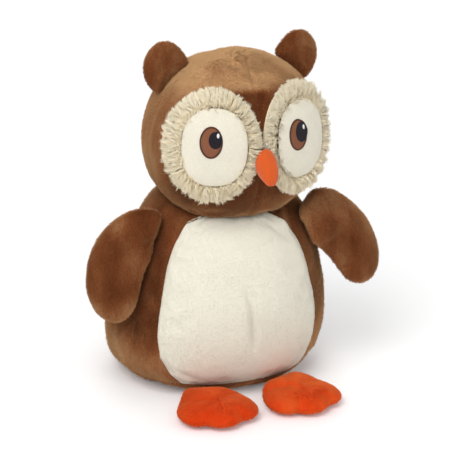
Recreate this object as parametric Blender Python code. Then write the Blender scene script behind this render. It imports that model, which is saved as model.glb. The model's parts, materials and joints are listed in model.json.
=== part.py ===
"""A plush owl, standing, as its maker cuts, sews and stuffs it.

Metres, +Z up. The origin is the middle of the flat patch that the body stands on. The owl looks along -Y,
so its own right side is at -X. Run it with blender --background --python part.py.

A stuffed form is rows of points, from one end of the form to the other. Its cloth panels are pieces of
that surface with the cloth's thickness, kept apart along the seams, and its filling is the same surface
further in, so cover and filling follow a changed size together.
"""

from math import cos, pi, radians, sin, tan

import bmesh
import bpy
from mathutils import Matrix, Vector

# Cloth and clearances
CLOTH = 0.0026  # plush backing with its short pile pressed down
SEAM_GAP = 0.0006  # between two panels along their seam
SEAM_STEP = radians(1)  # along a seam, to find its direction
LAYER_GAP = 0.0004  # between a cover and its filling, or one patch and the next
PATCH_GAP = 0.0006  # between the head and a patch on it
MERGE = 0.000002  # points closer than this are one point
CREASE = radians(50)  # an edge that turns more than this looks sharp

# Searches for a point on a surface
HALVINGS = 40  # of the stretch that holds the point
HEIGHT_ROUNDS = 6  # of nearing the height of a row that passes through a point
SLOPE_STEP_SHARE = 0.001  # of HEAD_WIDTH, to find the head's slope
OVER_HEAD_SHARE = 0.25  # of HEAD_FRONT, how far over the head a search for its surface starts
ROOT_STEP_SHARE = 0.1  # of WING_ROOT_LENGTH, to find the body's slope beside the wing
LOWEST_LIFT = radians(-85)  # lower round the head's side than the neck seam

# Body
BODY_WIDTH = 0.176
BODY_DEPTH = 0.154
NECK_HEIGHT = 0.152  # where the turning axis crosses the neck seam's plane
NECK_FORWARD = 0.026  # how far that crossing lies in front of the base's middle
BODY_LEAN = 0.018  # how far the middle of the body's top lies in front of the base's middle
NECK_TILT = radians(12)  # the neck seam dips to the front
BODY_PLAN_POWER = 2.15  # 2 is an ellipse, more is boxier
BELLY_COLUMNS = 10
SIDE_COLUMNS = 9
BELLY_SEAM = radians(50.5)  # from the belly's middle, where the belly is widest
BELLY_TURN = radians(1.5)  # of the belly's middle from the front, to the owl's left, at the base
BELLY_TWIST = radians(12.5)  # from there to the owl's right, at the neck

# Head
HEAD_WIDTH = 0.140
HEAD_FRONT = 0.054  # from the turning axis
HEAD_BACK = 0.060
HEAD_CENTRE_HEIGHT = 0.200
HEAD_RISE = 0.069
HEAD_DROP = 0.066  # of the whole form, which the neck plane cuts
HEAD_TURN = radians(20)  # to either side, which the wings leave free
HEAD_PLAN_POWER = 2.3
HEAD_SIDE_POWER = 2.1
HEAD_COLUMNS = 28
NECK_CURL = 0.003  # how far the head and the body are drawn in at the neck seam
NECK_CLEARANCE = 0.0008

# Eyes
EYE_ACROSS = 0.036
EYE_RISE = 0.009  # of the eye's middle over the head's
RING_WIDTH = 0.073
RING_HEIGHT = 0.084
RING_CLOTH = 0.0038  # shaggy cloth, pile pressed down
DISC_WIDTH = 0.049
DISC_HEIGHT = 0.0590
DISC_CLOTH = 0.0014
IRIS_WIDTH = 0.0165
IRIS_HEIGHT = 0.0235
IRIS_SHIFTS = {"left": -0.0066, "right": -0.0028}  # of the iris's middle from the disc's, to the owl's left
IRIS_LIFT = 0.0046
PUPIL_WIDTH = 0.0100
PUPIL_HEIGHT = 0.0160
PUPIL_SHIFT = 0.0030  # of the pupil's middle from the iris's
PUPIL_LIFT = 0.0018
HIGHLIGHT_WIDTH = 0.0034
HIGHLIGHT_HEIGHT = 0.0050
HIGHLIGHT_SHIFT = 0.0018  # of the highlight's middle from the pupil's
HIGHLIGHT_LIFT = 0.0034
EMBROIDERY = 0.0007  # thickness of a stitched patch
RING_COLUMNS = 24
IRIS_COLUMNS = 18
PUPIL_COLUMNS = 14
HIGHLIGHT_COLUMNS = 8

# Beak
BEAK_WIDTH = 0.017
BEAK_HEIGHT = 0.024
BEAK_LENGTH = 0.017
BEAK_DROP = 0.003  # of the root's middle below the head's
BEAK_CLOTH = 0.0014
BEAK_COLUMNS = 12

# Ears
EAR_HEIGHT = 0.031
EAR_THICKNESS = 0.010
EAR_INNER_SHARE = 0.485  # of half of HEAD_WIDTH, from the middle to the upper end of the ear's base
EAR_OUTER_SHARE = 0.865
EAR_BEHIND = 0.007  # of the ear's plane from the turning axis
EAR_CLOTH = 0.0018

# Wings
WING_WIDTH = 0.062
WING_LENGTH = 0.094
WING_SHOULDERS = {"left": 0.010, "right": 0.009}  # how far a wing rises past the upper end of its seam
WING_THICKNESS = 0.023
WING_ROOT_RADIUS = 0.0064  # of the rounded edge that the seam holds
WING_TOP_HEIGHT = 0.144  # of the upper end of the shoulder seam
WING_ROOT_LENGTH = 0.034
WING_BEARINGS = {"left": radians(50), "right": radians(74)}  # of the shoulder seam from the front
WING_HANGS = {"left": radians(-3), "right": radians(19)}  # in from the line of the seam
WING_SPREADS = {"left": radians(30), "right": radians(24)}  # from straight sideways toward the back
WING_TWISTS = {"left": radians(12), "right": 0}  # at the wing's end, its outer edge to the back
WING_FORWARD = {"left": radians(30), "right": radians(40)}
WING_BACK = {"left": radians(8), "right": radians(8)}
WING_CLEARANCE = 0.0005  # from the body, at each step over the joint's range
SWING_STEPS = 10

# Feet
FOOT_LENGTH = 0.061
FOOT_WIDTH = 0.066
FOOT_RISE = 0.011  # of the top over the sole's seam
FOOT_SEAM_HEIGHT = 0.0055
FOOT_CLOTH = 0.0022
FOOT_CLEARANCE = 0.0006
FOOT_BEARINGS = {"left": radians(21), "right": radians(24)}  # of the root along the base seam, from the front
FOOT_SPLAY = radians(5)
FOOT_UP = radians(25)
FOOT_DOWN = radians(15)

# Rows of the body from the middle of the base to the neck. Shares of NECK_HEIGHT, half of BODY_WIDTH, half
# of BODY_DEPTH, BODY_LEAN and BELLY_SEAM. The last row takes its size from the head's opening.
BODY_ROW_SHARES = (
    (0.000, 0.000, 0.000, 0.00, 0.65),
    (0.000, 0.720, 0.730, -0.20, 0.65),
    (0.022, 0.830, 0.830, -0.22, 0.69),
    (0.057, 0.895, 0.895, -0.24, 0.74),
    (0.100, 0.945, 0.945, -0.22, 0.80),
    (0.153, 0.980, 0.975, -0.16, 0.87),
    (0.235, 1.000, 0.995, -0.05, 0.94),
    (0.320, 1.000, 1.000, 0.08, 0.98),
    (0.415, 0.980, 1.000, 0.20, 1.00),
    (0.510, 0.945, 0.980, 0.34, 1.00),
    (0.610, 0.900, 0.930, 0.48, 1.00),
    (0.710, 0.855, 0.865, 0.62, 0.99),
    (0.810, 0.800, 0.790, 0.76, 0.97),
    (0.900, 0.735, 0.700, 0.89, 0.91),
    (0.962, 0.655, 0.605, 0.96, 0.81),
    (1.000, 0.600, 0.540, 1.00, 0.73),
)
BASE_SEAM_ROW = 3
POUCH_ROW = 5
NECK_ROW = 15

# Shares of the way from the neck to the top of the head, along its surface.
HEAD_ROW_SHARES = (0.0, 0.045, 0.12, 0.22, 0.33, 0.44, 0.55, 0.66, 0.77, 0.87, 0.95, 1.0)

# Rings of a flat stuffed form from its seam to its middle, and the share of its thickness at each.
PILLOW_RING_SHARES = ((1.0, 0.0), (0.90, 0.40), (0.70, 0.70), (0.40, 0.93), (0.0, 1.0))
EAR_RING_SHARES = ((1.0, 0.0), (0.78, 0.62), (0.42, 0.95), (0.0, 1.0))

# The wing's outline from the upper end of its root, as shares of WING_WIDTH outward and WING_LENGTH down.
WING_OUTLINE_SHARES = (
    (-0.14, 0.16), (-0.09, 0.11), (-0.02, 0.07), (0.08, 0.03), (0.20, 0.00), (0.42, 0.00), (0.64, 0.08),
    (0.84, 0.22), (0.97, 0.40), (1.02, 0.59), (0.98, 0.79), (0.84, 0.95), (0.64, 1.02), (0.43, 0.99),
    (0.27, 0.89), (0.21, 0.75), (0.15, 0.59), (0.09, 0.50), (0.03, 0.43), (-0.04, 0.38), (-0.09, 0.33),
    (-0.13, 0.28), (-0.15, 0.22),
)
WING_MIDDLE_SHARE = (0.55, 0.50)
HEAD_CLEARANCE_SHARE = 1.04  # of the head's size, which the wings stay outside

# The ear's outline over its base, as shares of half of its base outward and of EAR_HEIGHT away from the head.
EAR_OUTLINE_SHARES = (
    (1.03, 0.16), (1.00, 0.40), (0.80, 0.67), (0.42, 0.89), (-0.04, 0.99), (-0.48, 1.00), (-0.85, 0.90),
    (-1.08, 0.68), (-1.13, 0.42), (-1.08, 0.18),
)
EAR_BASE_SHARES = (-1.0, -0.5, 0.0, 0.5, 1.0)  # points along the base, from its upper end
EAR_MIDDLE_SHARE = (-0.22, 0.48)

# One half of the foot's outline, as shares of half of FOOT_WIDTH and FOOT_LENGTH: the root's corner, the
# outer toe, the notch and the middle toe.
FOOT_HALF_SHARES = (
    (0.50, 0.00), (0.68, 0.16), (0.86, 0.33), (1.00, 0.50), (1.00, 0.68), (0.86, 0.83), (0.62, 0.88),
    (0.48, 0.86), (0.38, 0.92), (0.20, 0.99),
)
FOOT_ROOT_SHARES = (-0.5, 0.0, 0.5)  # points of the root between its corners
FOOT_SLOPE_SHARE = 0.35  # of FOOT_LENGTH, over which the seam comes down from the base seam
FOOT_MIDDLE_SHARE = 0.54
SOLE_EDGE_SHARE = 0.74

# The eye ring's section, from its inner edge, as shares of its breadth outward and of RING_CLOTH upward.
RING_SECTION_SHARES = ((0.0, 0.0), (0.5, 0.0), (1.0, 0.0), (1.0, 0.45), (0.62, 1.0), (0.0, 0.8))
DISC_RING_SHARES = (0.0, 0.35, 0.7, 1.0)
SPOT_RING_SHARES = (0.0, 1.0)

# The beak from its root to its tip: shares of BEAK_LENGTH forward, of its root's size and of BEAK_HEIGHT
# down.
BEAK_ROW_SHARES = ((0.0, 1.0, 0.0), (0.35, 0.97, 0.08), (0.76, 0.74, 0.28), (1.0, 0.0, 0.46))

UP = Vector((0, 0, 1))
FORWARD = Vector((0, -1, 0))
NECK_POINT = Vector((0, -NECK_FORWARD, NECK_HEIGHT))
NECK_AXIS = Vector((0, -sin(NECK_TILT), cos(NECK_TILT)))
SIDES = (("left", 1), ("right", -1))  # the owl's own left is at +X


# Materials

def cloth_material(name, colour, roughness):
    material = bpy.data.materials.new(name)
    material.use_nodes = True
    shader = material.node_tree.nodes["Principled BSDF"]
    shader.inputs["Base Color"].default_value = (*colour, 1)
    shader.inputs["Roughness"].default_value = roughness
    shader.inputs["Metallic"].default_value = 0
    material.diffuse_color = (*colour, 1)
    return material


def make_materials():
    return {
        "brown": cloth_material("brown plush", (0.22, 0.075, 0.025), 0.95),
        "cream": cloth_material("cream plush", (0.82, 0.76, 0.66), 0.95),
        "shaggy": cloth_material("shaggy cream plush", (0.78, 0.70, 0.52), 0.95),
        "ivory": cloth_material("ivory felt", (0.88, 0.82, 0.70), 0.9),
        "iris": cloth_material("brown thread", (0.34, 0.10, 0.03), 0.6),
        "pupil": cloth_material("dark thread", (0.012, 0.012, 0.02), 0.5),
        "white": cloth_material("white thread", (0.9, 0.9, 0.9), 0.5),
        "orange": cloth_material("orange felt", (0.83, 0.12, 0.02), 0.9),
        "foot": cloth_material("orange plush", (0.60, 0.07, 0.015), 0.95),
        "filling": cloth_material("polyester fibre", (0.9, 0.9, 0.88), 1),
        "pouch": cloth_material("pouch cloth", (0.75, 0.74, 0.70), 0.9),
    }


# Rows of points

def signed_power(value, exponent):
    size = abs(value) ** exponent
    return size if value >= 0 else -size


def pulled(point, toward, distance):
    step = toward - point
    return point + step.normalized() * distance if step.length > MERGE else point.copy()


def surface_normals(rows, end_normals):
    """The outward normal at each point of rows that close around; end_normals serve rows that are a point."""
    normals = []
    columns = len(rows[0])
    for index, row in enumerate(rows):
        if (row[0] - row[1]).length < MERGE:
            normals.append([end_normals[0 if index == 0 else 1]] * columns)
            continue
        after = rows[min(index + 1, len(rows) - 1)]
        before = rows[max(index - 1, 0)]
        found = []
        for column in range(columns):
            along = after[column] - before[column]
            around = row[(column + 1) % columns] - row[column - 1]
            found.append(around.cross(along).normalized())
        normals.append(found)
    return normals


def inset(rows, depth, end_normals, levels=None):
    """The same rows, depth further in. A row in levels, by its index, stays in its normal's plane."""
    levels = levels or {}
    moved = []
    for index, normals in enumerate(surface_normals(rows, end_normals)):
        flat = levels.get(index)
        row = []
        for point, normal in zip(rows[index], normals):
            if flat is not None:
                normal = (normal - flat * normal.dot(flat)).normalized()
            row.append(point - normal * depth)
        moved.append(row)
    return moved


def slice_rows(rows, first_row, last_row, first_column=None, last_column=None):
    """A piece of the rows. Columns may run past the end, which goes on from the start again."""
    picked = rows[first_row:last_row + 1]
    if first_column is None:
        return [list(row) for row in picked]
    return [[row[column % len(row)] for column in range(first_column, last_column + 1)] for row in picked]


def trimmed(rows, at_start=False, at_end=False, at_sides=False):
    """Draws the edges of a piece back from its seams by half of the seam's gap."""
    half = SEAM_GAP / 2
    result = [list(row) for row in rows]
    if at_start:
        result[0] = [pulled(point, after, half) for point, after in zip(rows[0], rows[1])]
    if at_end:
        result[-1] = [pulled(point, before, half) for point, before in zip(rows[-1], rows[-2])]
    if at_sides:
        for row in result:
            if (row[0] - row[-1]).length < MERGE:
                continue
            row[0] = pulled(row[0], row[1], half)
            row[-1] = pulled(row[-1], row[-2], half)
    return result


# Meshes

class Sheet:
    """Collects points and triangles, and turns them into one closed mesh."""

    def __init__(self):
        self.points = []
        self.faces = []

    def add(self, row):
        start = len(self.points)
        self.points.extend(row)
        return list(range(start, start + len(row)))

    def strip(self, lower, upper, around):
        """Triangles between two rows, always split along the same diagonal, so that layers nest."""
        count = len(lower)
        for column in range(count if around else count - 1):
            following = (column + 1) % count
            self.faces.append((lower[column], lower[following], upper[following]))
            self.faces.append((lower[column], upper[following], upper[column]))

    def cap(self, ring):
        self.faces.append(tuple(ring))

    def mesh(self, name):
        mesh = bpy.data.meshes.new(name)
        work = bmesh.new()
        corners = [work.verts.new(point) for point in self.points]
        for face in self.faces:
            work.faces.new([corners[index] for index in face])
        bmesh.ops.remove_doubles(work, verts=work.verts, dist=MERGE)
        bmesh.ops.recalc_face_normals(work, faces=work.faces)
        work.to_mesh(mesh)
        work.free()
        mesh.shade_smooth()
        mesh.set_sharp_from_angle(angle=CREASE)
        return mesh


def panel_sheet(outer, inner, around):
    """Cloth between two like sets of rows, closed along its edges."""
    sheet = Sheet()
    outside = [sheet.add(row) for row in outer]
    inside = [sheet.add(row) for row in inner]
    for rows in (outside, inside):
        for lower, upper in zip(rows, rows[1:]):
            sheet.strip(lower, upper, around)
    for index in (0, -1):
        sheet.strip(outside[index], inside[index], around)
    if not around:
        for column in (0, -1):
            sheet.strip([row[column] for row in outside], [row[column] for row in inside], False)
    return sheet


def solid_sheet(rows):
    """A filled form between its first and last row, either of which may be a point or a flat ring."""
    sheet = Sheet()
    placed = [sheet.add(row) for row in rows]
    for lower, upper in zip(placed, placed[1:]):
        sheet.strip(lower, upper, True)
    for index in (0, -1):
        if (rows[index][0] - rows[index][1]).length > MERGE:
            sheet.cap(placed[index])
    return sheet


def hoop_sheet(rows):
    """A ring-shaped solid: the last row joins the first again."""
    sheet = Sheet()
    placed = [sheet.add(row) for row in rows]
    for lower, upper in zip(placed, placed[1:] + placed[:1]):
        sheet.strip(lower, upper, True)
    return sheet


def add_part(name, sheet, material, carrier=None):
    """Makes the object. A carried piece has its points measured from its carrier, on the joint's axis."""
    if carrier is not None:
        sheet.points = [point - carrier.location for point in sheet.points]
    mesh = sheet.mesh(name)
    mesh.materials.append(material)
    part = bpy.data.objects.new(name, mesh)
    bpy.context.scene.collection.objects.link(part)
    part.parent = carrier
    return part


def add_carrier(name, location):
    carrier = bpy.data.objects.new(name, None)
    carrier.location = location
    bpy.context.scene.collection.objects.link(carrier)
    return carrier


# Body: a pear-shaped form, its base flat, its top cut along the tilted plane of the neck seam.

def body_row(height):
    """The shares of the body's row at a height, between the two rows around it."""
    share = height / NECK_HEIGHT
    for lower, upper in zip(BODY_ROW_SHARES[1:], BODY_ROW_SHARES[2:]):
        if share <= upper[0]:
            break
    part = (share - lower[0]) / (upper[0] - lower[0])
    return tuple(low + (high - low) * part for low, high in zip(lower, upper))


def body_point(row, angle):
    height, across, deep, forward, _ = row
    x = signed_power(sin(angle), 2 / BODY_PLAN_POWER) * across * BODY_WIDTH / 2
    y = -signed_power(cos(angle), 2 / BODY_PLAN_POWER) * deep * BODY_DEPTH / 2 - forward * BODY_LEAN
    pouch_height = BODY_ROW_SHARES[POUCH_ROW][0]
    tilted = max(0, (height - pouch_height) / (1 - pouch_height)) ** 2
    return Vector((x, y, height * NECK_HEIGHT + (y + NECK_FORWARD) * tan(NECK_TILT) * tilted))


def between(start, end, columns):
    return [start + (end - start) * column / columns for column in range(columns)]


def body_columns(row):
    """The angles of a row's points: across the belly, then round the owl's left side, back and right side."""
    seam = row[4] * BELLY_SEAM
    middle = BELLY_TURN - BELLY_TWIST * row[0]
    belly = between(middle - seam, middle + seam, BELLY_COLUMNS)
    left = between(middle + seam, pi, SIDE_COLUMNS)
    right = between(pi, 2 * pi + middle - seam, SIDE_COLUMNS)
    return belly + left + right


def body_rows(depth):
    rows = [[body_point(row, angle) for angle in body_columns(row)] for row in BODY_ROW_SHARES]
    rows[NECK_ROW] = [neck_point(angle) - NECK_AXIS * NECK_CLEARANCE / 2
                      for angle in body_columns(BODY_ROW_SHARES[NECK_ROW])]
    if not depth:
        return rows
    return inset(rows, depth, (-UP, UP), {POUCH_ROW: UP, NECK_ROW: NECK_AXIS})


def make_body(materials):
    outer = body_rows(0)
    inner = body_rows(CLOTH)
    packed = body_rows(CLOTH + LAYER_GAP)
    left = BELLY_COLUMNS
    back = left + SIDE_COLUMNS
    right = back + SIDE_COLUMNS
    for name, first, last, material in (
        ("belly_panel", 0, left, "cream"),
        ("left_body_panel", left, back, "brown"),
        ("right_body_panel", back, right, "brown"),
    ):
        faces = [
            trimmed(slice_rows(rows, BASE_SEAM_ROW, NECK_ROW, first, last), at_start=True, at_sides=True)
            for rows in (outer, inner)
        ]
        add_part(name, panel_sheet(*faces, around=False), materials[material])
    base = [trimmed(slice_rows(rows, 0, BASE_SEAM_ROW), at_end=True) for rows in (outer, inner)]
    add_part("base_panel", panel_sheet(*base, around=True), materials["brown"])
    add_part("pellet_pouch", solid_sheet(slice_rows(packed, 0, POUCH_ROW)), materials["pouch"])
    filling = slice_rows(packed, POUCH_ROW, NECK_ROW)
    filling[0] = [point + UP * LAYER_GAP for point in filling[0]]
    add_part("body_filling", solid_sheet(filling), materials["filling"])


# Head: a rounded form, its underside cut along the same plane as the body's top.

def head_point(angle, lift):
    """A point of the head's surface; lift is 0 where the head is widest and a right angle at its top."""
    reach = signed_power(cos(lift), 2 / HEAD_SIDE_POWER)
    x = signed_power(sin(angle), 2 / HEAD_PLAN_POWER) * reach * HEAD_WIDTH / 2
    y = -signed_power(cos(angle), 2 / HEAD_PLAN_POWER) * reach * (HEAD_FRONT if cos(angle) > 0 else HEAD_BACK)
    z = signed_power(sin(lift), 2 / HEAD_SIDE_POWER) * (HEAD_RISE if lift > 0 else HEAD_DROP)
    return Vector((x, y - NECK_FORWARD, z + HEAD_CENTRE_HEIGHT))


def head_share(point):
    """1 on the head's surface, less inside and more outside."""
    deep = HEAD_FRONT if point.y < -NECK_FORWARD else HEAD_BACK
    high = HEAD_RISE if point.z > HEAD_CENTRE_HEIGHT else HEAD_DROP
    across = abs(point.x) / (HEAD_WIDTH / 2)
    along = abs(point.y + NECK_FORWARD) / deep
    plan = (across ** HEAD_PLAN_POWER + along ** HEAD_PLAN_POWER) ** (1 / HEAD_PLAN_POWER)
    return plan ** HEAD_SIDE_POWER + (abs(point.z - HEAD_CENTRE_HEIGHT) / high) ** HEAD_SIDE_POWER


def head_normal(point):
    step = HEAD_WIDTH * SLOPE_STEP_SHARE
    slope = [head_share(point + axis * step) - head_share(point - axis * step)
             for axis in (Vector((1, 0, 0)), Vector((0, 1, 0)), UP)]
    return Vector(slope).normalized()


def onto_head(point, direction):
    """Moves a point along a direction to the head's surface, from outside it."""
    outside, inside = 0, HEAD_FRONT
    for _ in range(HALVINGS):
        middle = (outside + inside) / 2
        if head_share(point + direction * middle) > 1:
            outside = middle
        else:
            inside = middle
    return point + direction * outside


def neck_lift(angle):
    """How far round the head's side, downward, the neck plane lies."""
    low, high = LOWEST_LIFT, 0
    for _ in range(HALVINGS):
        middle = (low + high) / 2
        if (head_point(angle, middle) - NECK_POINT).dot(NECK_AXIS) > 0:
            high = middle
        else:
            low = middle
    return high


def neck_point(angle):
    """A point of the opening at which head and body are sewn together."""
    return pulled(head_point(angle, neck_lift(angle)), NECK_POINT, NECK_CURL)


def head_rows(depth):
    columns = []
    for column in range(HEAD_COLUMNS):
        angle = 2 * pi * column / HEAD_COLUMNS
        start = neck_lift(angle)
        points = [head_point(angle, start + (pi / 2 - start) * share) for share in HEAD_ROW_SHARES]
        points[0] = neck_point(angle) + NECK_AXIS * NECK_CLEARANCE / 2
        columns.append(points)
    top = Vector((0, -NECK_FORWARD, HEAD_CENTRE_HEIGHT + HEAD_RISE))
    rows = [list(row) for row in zip(*columns)]
    rows[-1] = [top] * HEAD_COLUMNS
    return inset(rows, depth, (-UP, UP), {0: NECK_AXIS}) if depth else rows


def with_apex(rows, direction):
    """Draws a panel's point, where several panels meet, back from the others."""
    return rows[:-1] + [[rows[-1][0] + direction * SEAM_GAP] * len(rows[-1])]


def make_head(materials, head):
    outer = head_rows(0)
    inner = head_rows(CLOTH)
    quarter = HEAD_COLUMNS // 4
    last_row = len(HEAD_ROW_SHARES) - 1
    for index, name in enumerate((
        "head_front_left_panel", "head_back_left_panel", "head_back_right_panel", "head_front_right_panel",
    )):
        first = index * quarter
        bisector = Vector((sin((index + 0.5) * pi / 2), -cos((index + 0.5) * pi / 2), 0))
        faces = [
            with_apex(trimmed(slice_rows(rows, 0, last_row, first, first + quarter), at_sides=True), bisector)
            for rows in (outer, inner)
        ]
        add_part(name, panel_sheet(*faces, around=False), materials["brown"], head)
    add_part("head_filling", solid_sheet(head_rows(CLOTH + LAYER_GAP)), materials["filling"], head)


# Eyes: patches that lie on the head's surface, one over the other.

class Eye:
    """Finds points over the head's surface around the middle of one eye."""

    def __init__(self, side):
        above = Vector((side * EYE_ACROSS, -NECK_FORWARD - HEAD_FRONT, HEAD_CENTRE_HEIGHT + EYE_RISE))
        self.middle = onto_head(above, -FORWARD)
        self.normal = head_normal(self.middle)
        self.across = UP.cross(self.normal).normalized()
        self.up = self.normal.cross(self.across)

    def over(self, across, up, lift):
        start = self.middle + self.across * across + self.up * up + self.normal * HEAD_FRONT * OVER_HEAD_SHARE
        point = onto_head(start, -self.normal)
        return point + head_normal(point) * lift

    def loop(self, width, height, lift, columns, shift=0, rise=0):
        """An oval around the middle; shift moves it to the owl's left and rise moves it up."""
        angles = [2 * pi * column / columns for column in range(columns)]
        return [
            self.over(shift + cos(angle) * width / 2, rise + sin(angle) * height / 2, lift)
            for angle in angles]


def patch_sheet(eye, width, height, low, cloth, columns, ring_shares, shift=0, rise=0):
    """A flat patch of cloth whose underside lies at low over the head."""
    rows = [eye.loop(width * share, height * share, low, columns, shift, rise) for share in ring_shares]
    rows += [eye.loop(width * share, height * share, low + cloth, columns, shift, rise)
             for share in reversed(ring_shares)]
    return solid_sheet(rows)


def make_eye(materials, head, side_name, side):
    eye = Eye(side)
    inner_width, inner_height = DISC_WIDTH + 2 * SEAM_GAP, DISC_HEIGHT + 2 * SEAM_GAP
    rows = []
    for outward, lift in RING_SECTION_SHARES:
        width = inner_width + (RING_WIDTH - inner_width) * outward
        height = inner_height + (RING_HEIGHT - inner_height) * outward
        loop = eye.loop(width, height, PATCH_GAP + RING_CLOTH * lift, RING_COLUMNS)
        rows.append([Vector((side * max(side * point.x, SEAM_GAP / 2), point.y, point.z)) for point in loop])
    add_part(side_name + "_eye_ring", hoop_sheet(rows), materials["shaggy"], head)
    low = PATCH_GAP
    disc = patch_sheet(eye, DISC_WIDTH, DISC_HEIGHT, low, DISC_CLOTH, RING_COLUMNS, DISC_RING_SHARES)
    add_part(side_name + "_eye_disc", disc, materials["ivory"], head)
    low += DISC_CLOTH + LAYER_GAP
    shift, rise = IRIS_SHIFTS[side_name], IRIS_LIFT
    iris = patch_sheet(
        eye, IRIS_WIDTH, IRIS_HEIGHT, low, EMBROIDERY, IRIS_COLUMNS, SPOT_RING_SHARES, shift, rise)
    add_part(side_name + "_iris", iris, materials["iris"], head)
    low += EMBROIDERY + LAYER_GAP
    shift, rise = shift + PUPIL_SHIFT, rise + PUPIL_LIFT
    pupil = patch_sheet(
        eye, PUPIL_WIDTH, PUPIL_HEIGHT, low, EMBROIDERY, PUPIL_COLUMNS, SPOT_RING_SHARES, shift, rise)
    add_part(side_name + "_pupil", pupil, materials["pupil"], head)
    low += EMBROIDERY + LAYER_GAP
    shift, rise = shift + HIGHLIGHT_SHIFT, rise + HIGHLIGHT_LIFT
    highlight = patch_sheet(
        eye, HIGHLIGHT_WIDTH, HIGHLIGHT_HEIGHT, low, EMBROIDERY, HIGHLIGHT_COLUMNS, SPOT_RING_SHARES,
        shift, rise)
    add_part(side_name + "_eye_highlight", highlight, materials["white"], head)


# Beak: two halves sewn into a short drooping cone, over the place where the eye rings meet.

def beak_rows(depth):
    root = onto_head(Vector((0, -NECK_FORWARD - 2 * HEAD_FRONT, HEAD_CENTRE_HEIGHT - BEAK_DROP)), -FORWARD)
    root += FORWARD * (PATCH_GAP + RING_CLOTH + LAYER_GAP)
    rows = []
    for forward, size, drop in BEAK_ROW_SHARES:
        middle = root + FORWARD * BEAK_LENGTH * forward - UP * BEAK_HEIGHT * drop
        row = []
        for column in range(BEAK_COLUMNS):
            angle = 2 * pi * column / BEAK_COLUMNS
            across = sin(angle) * BEAK_WIDTH / 2
            up = cos(angle) * BEAK_HEIGHT / 2
            row.append(middle + (Vector((-across, 0, 0)) + UP * up) * size)
        rows.append(row)
    return inset(rows, depth, (-FORWARD, FORWARD), {0: FORWARD}) if depth else rows


def make_beak(materials, head):
    outer = beak_rows(0)
    inner = beak_rows(BEAK_CLOTH)
    half = BEAK_COLUMNS // 2
    for name, first, side in (("beak_right_half", 0, -1), ("beak_left_half", half, 1)):
        faces = [
            with_apex(trimmed(slice_rows(rows, 0, len(rows) - 1, first, first + half), at_sides=True),
                      Vector((side, 0, 0)))
            for rows in (outer, inner)
        ]
        add_part(name, panel_sheet(*faces, around=False), materials["orange"], head)
    add_part("beak_filling", solid_sheet(beak_rows(BEAK_CLOTH + LAYER_GAP)), materials["filling"], head)


# Flat stuffed forms: two panels sewn together along an outline.

def wound(outline, normal):
    """The outline, running counterclockwise seen from the normal's side."""
    middle = sum(outline, Vector()) / len(outline)
    turn = sum((
        (point - middle).cross(following - middle)
        for point, following in zip(outline, outline[1:] + outline[:1])
    ), Vector())
    return outline if turn.dot(normal) > 0 else outline[::-1]


def pillow_rows(outline, middle, normal, back, front, ring_shares):
    """Rows from the middle of the back face, over the seam, to the middle of the front face."""
    behind = [[middle + (point - middle) * ring - normal * back * rise for point in outline]
              for ring, rise in reversed(ring_shares[1:])]
    before = [[middle + (point - middle) * ring + normal * front * rise for point in outline]
              for ring, rise in ring_shares[1:]]
    return behind + [outline] + before, len(behind)


def make_pillow(rows, seam, normal, cloth, names, materials, carrier):
    """The two panels and, where it has a name, the filling of a flat form whose seam is row seam."""
    front_name, back_name, filling_name = names
    levels = {seam: normal}
    ends = (-normal, normal)
    inner = inset(rows, cloth, ends, levels)
    apart = normal * SEAM_GAP / 2
    for name, first, last, edge, shift in (
        (front_name, seam, len(rows) - 1, 0, apart), (back_name, 0, seam, -1, -apart),
    ):
        faces = [slice_rows(face, first, last) for face in (rows, inner)]
        for face in faces:
            face[edge] = [point + shift for point in face[edge]]
        add_part(name, panel_sheet(*faces, around=True), materials[0], carrier)
    if filling_name:
        filling = solid_sheet(inset(rows, cloth + LAYER_GAP, ends, levels))
        add_part(filling_name, filling, materials[1], carrier)


# Wings: each hangs from the shoulder seam beside the belly, its rounded root edge turning on the seam.

def wing_frame(side_name, side):
    """Two points of the seam's axis, and the wing's outward, downward and forward directions."""
    ends = []
    bearing = WING_BEARINGS[side_name]
    for height in (WING_TOP_HEIGHT, WING_TOP_HEIGHT - WING_ROOT_LENGTH):
        row = body_row(height)
        point = body_point(row, bearing)
        around = body_point(row, bearing + SEAM_STEP) - point
        above = body_point(body_row(height + WING_ROOT_LENGTH * ROOT_STEP_SHARE), bearing) - point
        normal = around.cross(above).normalized()
        ends.append(point + normal * (WING_ROOT_RADIUS + LAYER_GAP))
    ends = [Vector((side * end.x, end.y, end.z)) for end in ends]
    down = (ends[1] - ends[0]).normalized()
    spread = WING_SPREADS[side_name]
    outward = Vector((side * cos(spread), sin(spread), 0))
    outward = (outward - down * outward.dot(down)).normalized()
    return ends[0], outward, down, outward.cross(-down).normalized() * side


def body_clearance(point):
    """How far outside the body a point lies, measured level from the body's upright middle line."""
    pouch_height = BODY_ROW_SHARES[POUCH_ROW][0]
    height = point.z / NECK_HEIGHT
    for _ in range(HEIGHT_ROUNDS):
        tilted = max(0, (height - pouch_height) / (1 - pouch_height)) ** 2
        height = (point.z - (point.y + NECK_FORWARD) * tan(NECK_TILT) * tilted) / NECK_HEIGHT
    _, across, deep, forward, _ = body_row(min(max(height, 0), 1) * NECK_HEIGHT)
    level = Vector((point.x, point.y + forward * BODY_LEAN, 0))
    share = (abs(level.x) / (across * BODY_WIDTH / 2)) ** BODY_PLAN_POWER
    share += (abs(level.y) / (deep * BODY_DEPTH / 2)) ** BODY_PLAN_POWER
    return level.length * (1 - share ** (-1 / BODY_PLAN_POWER))


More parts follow.
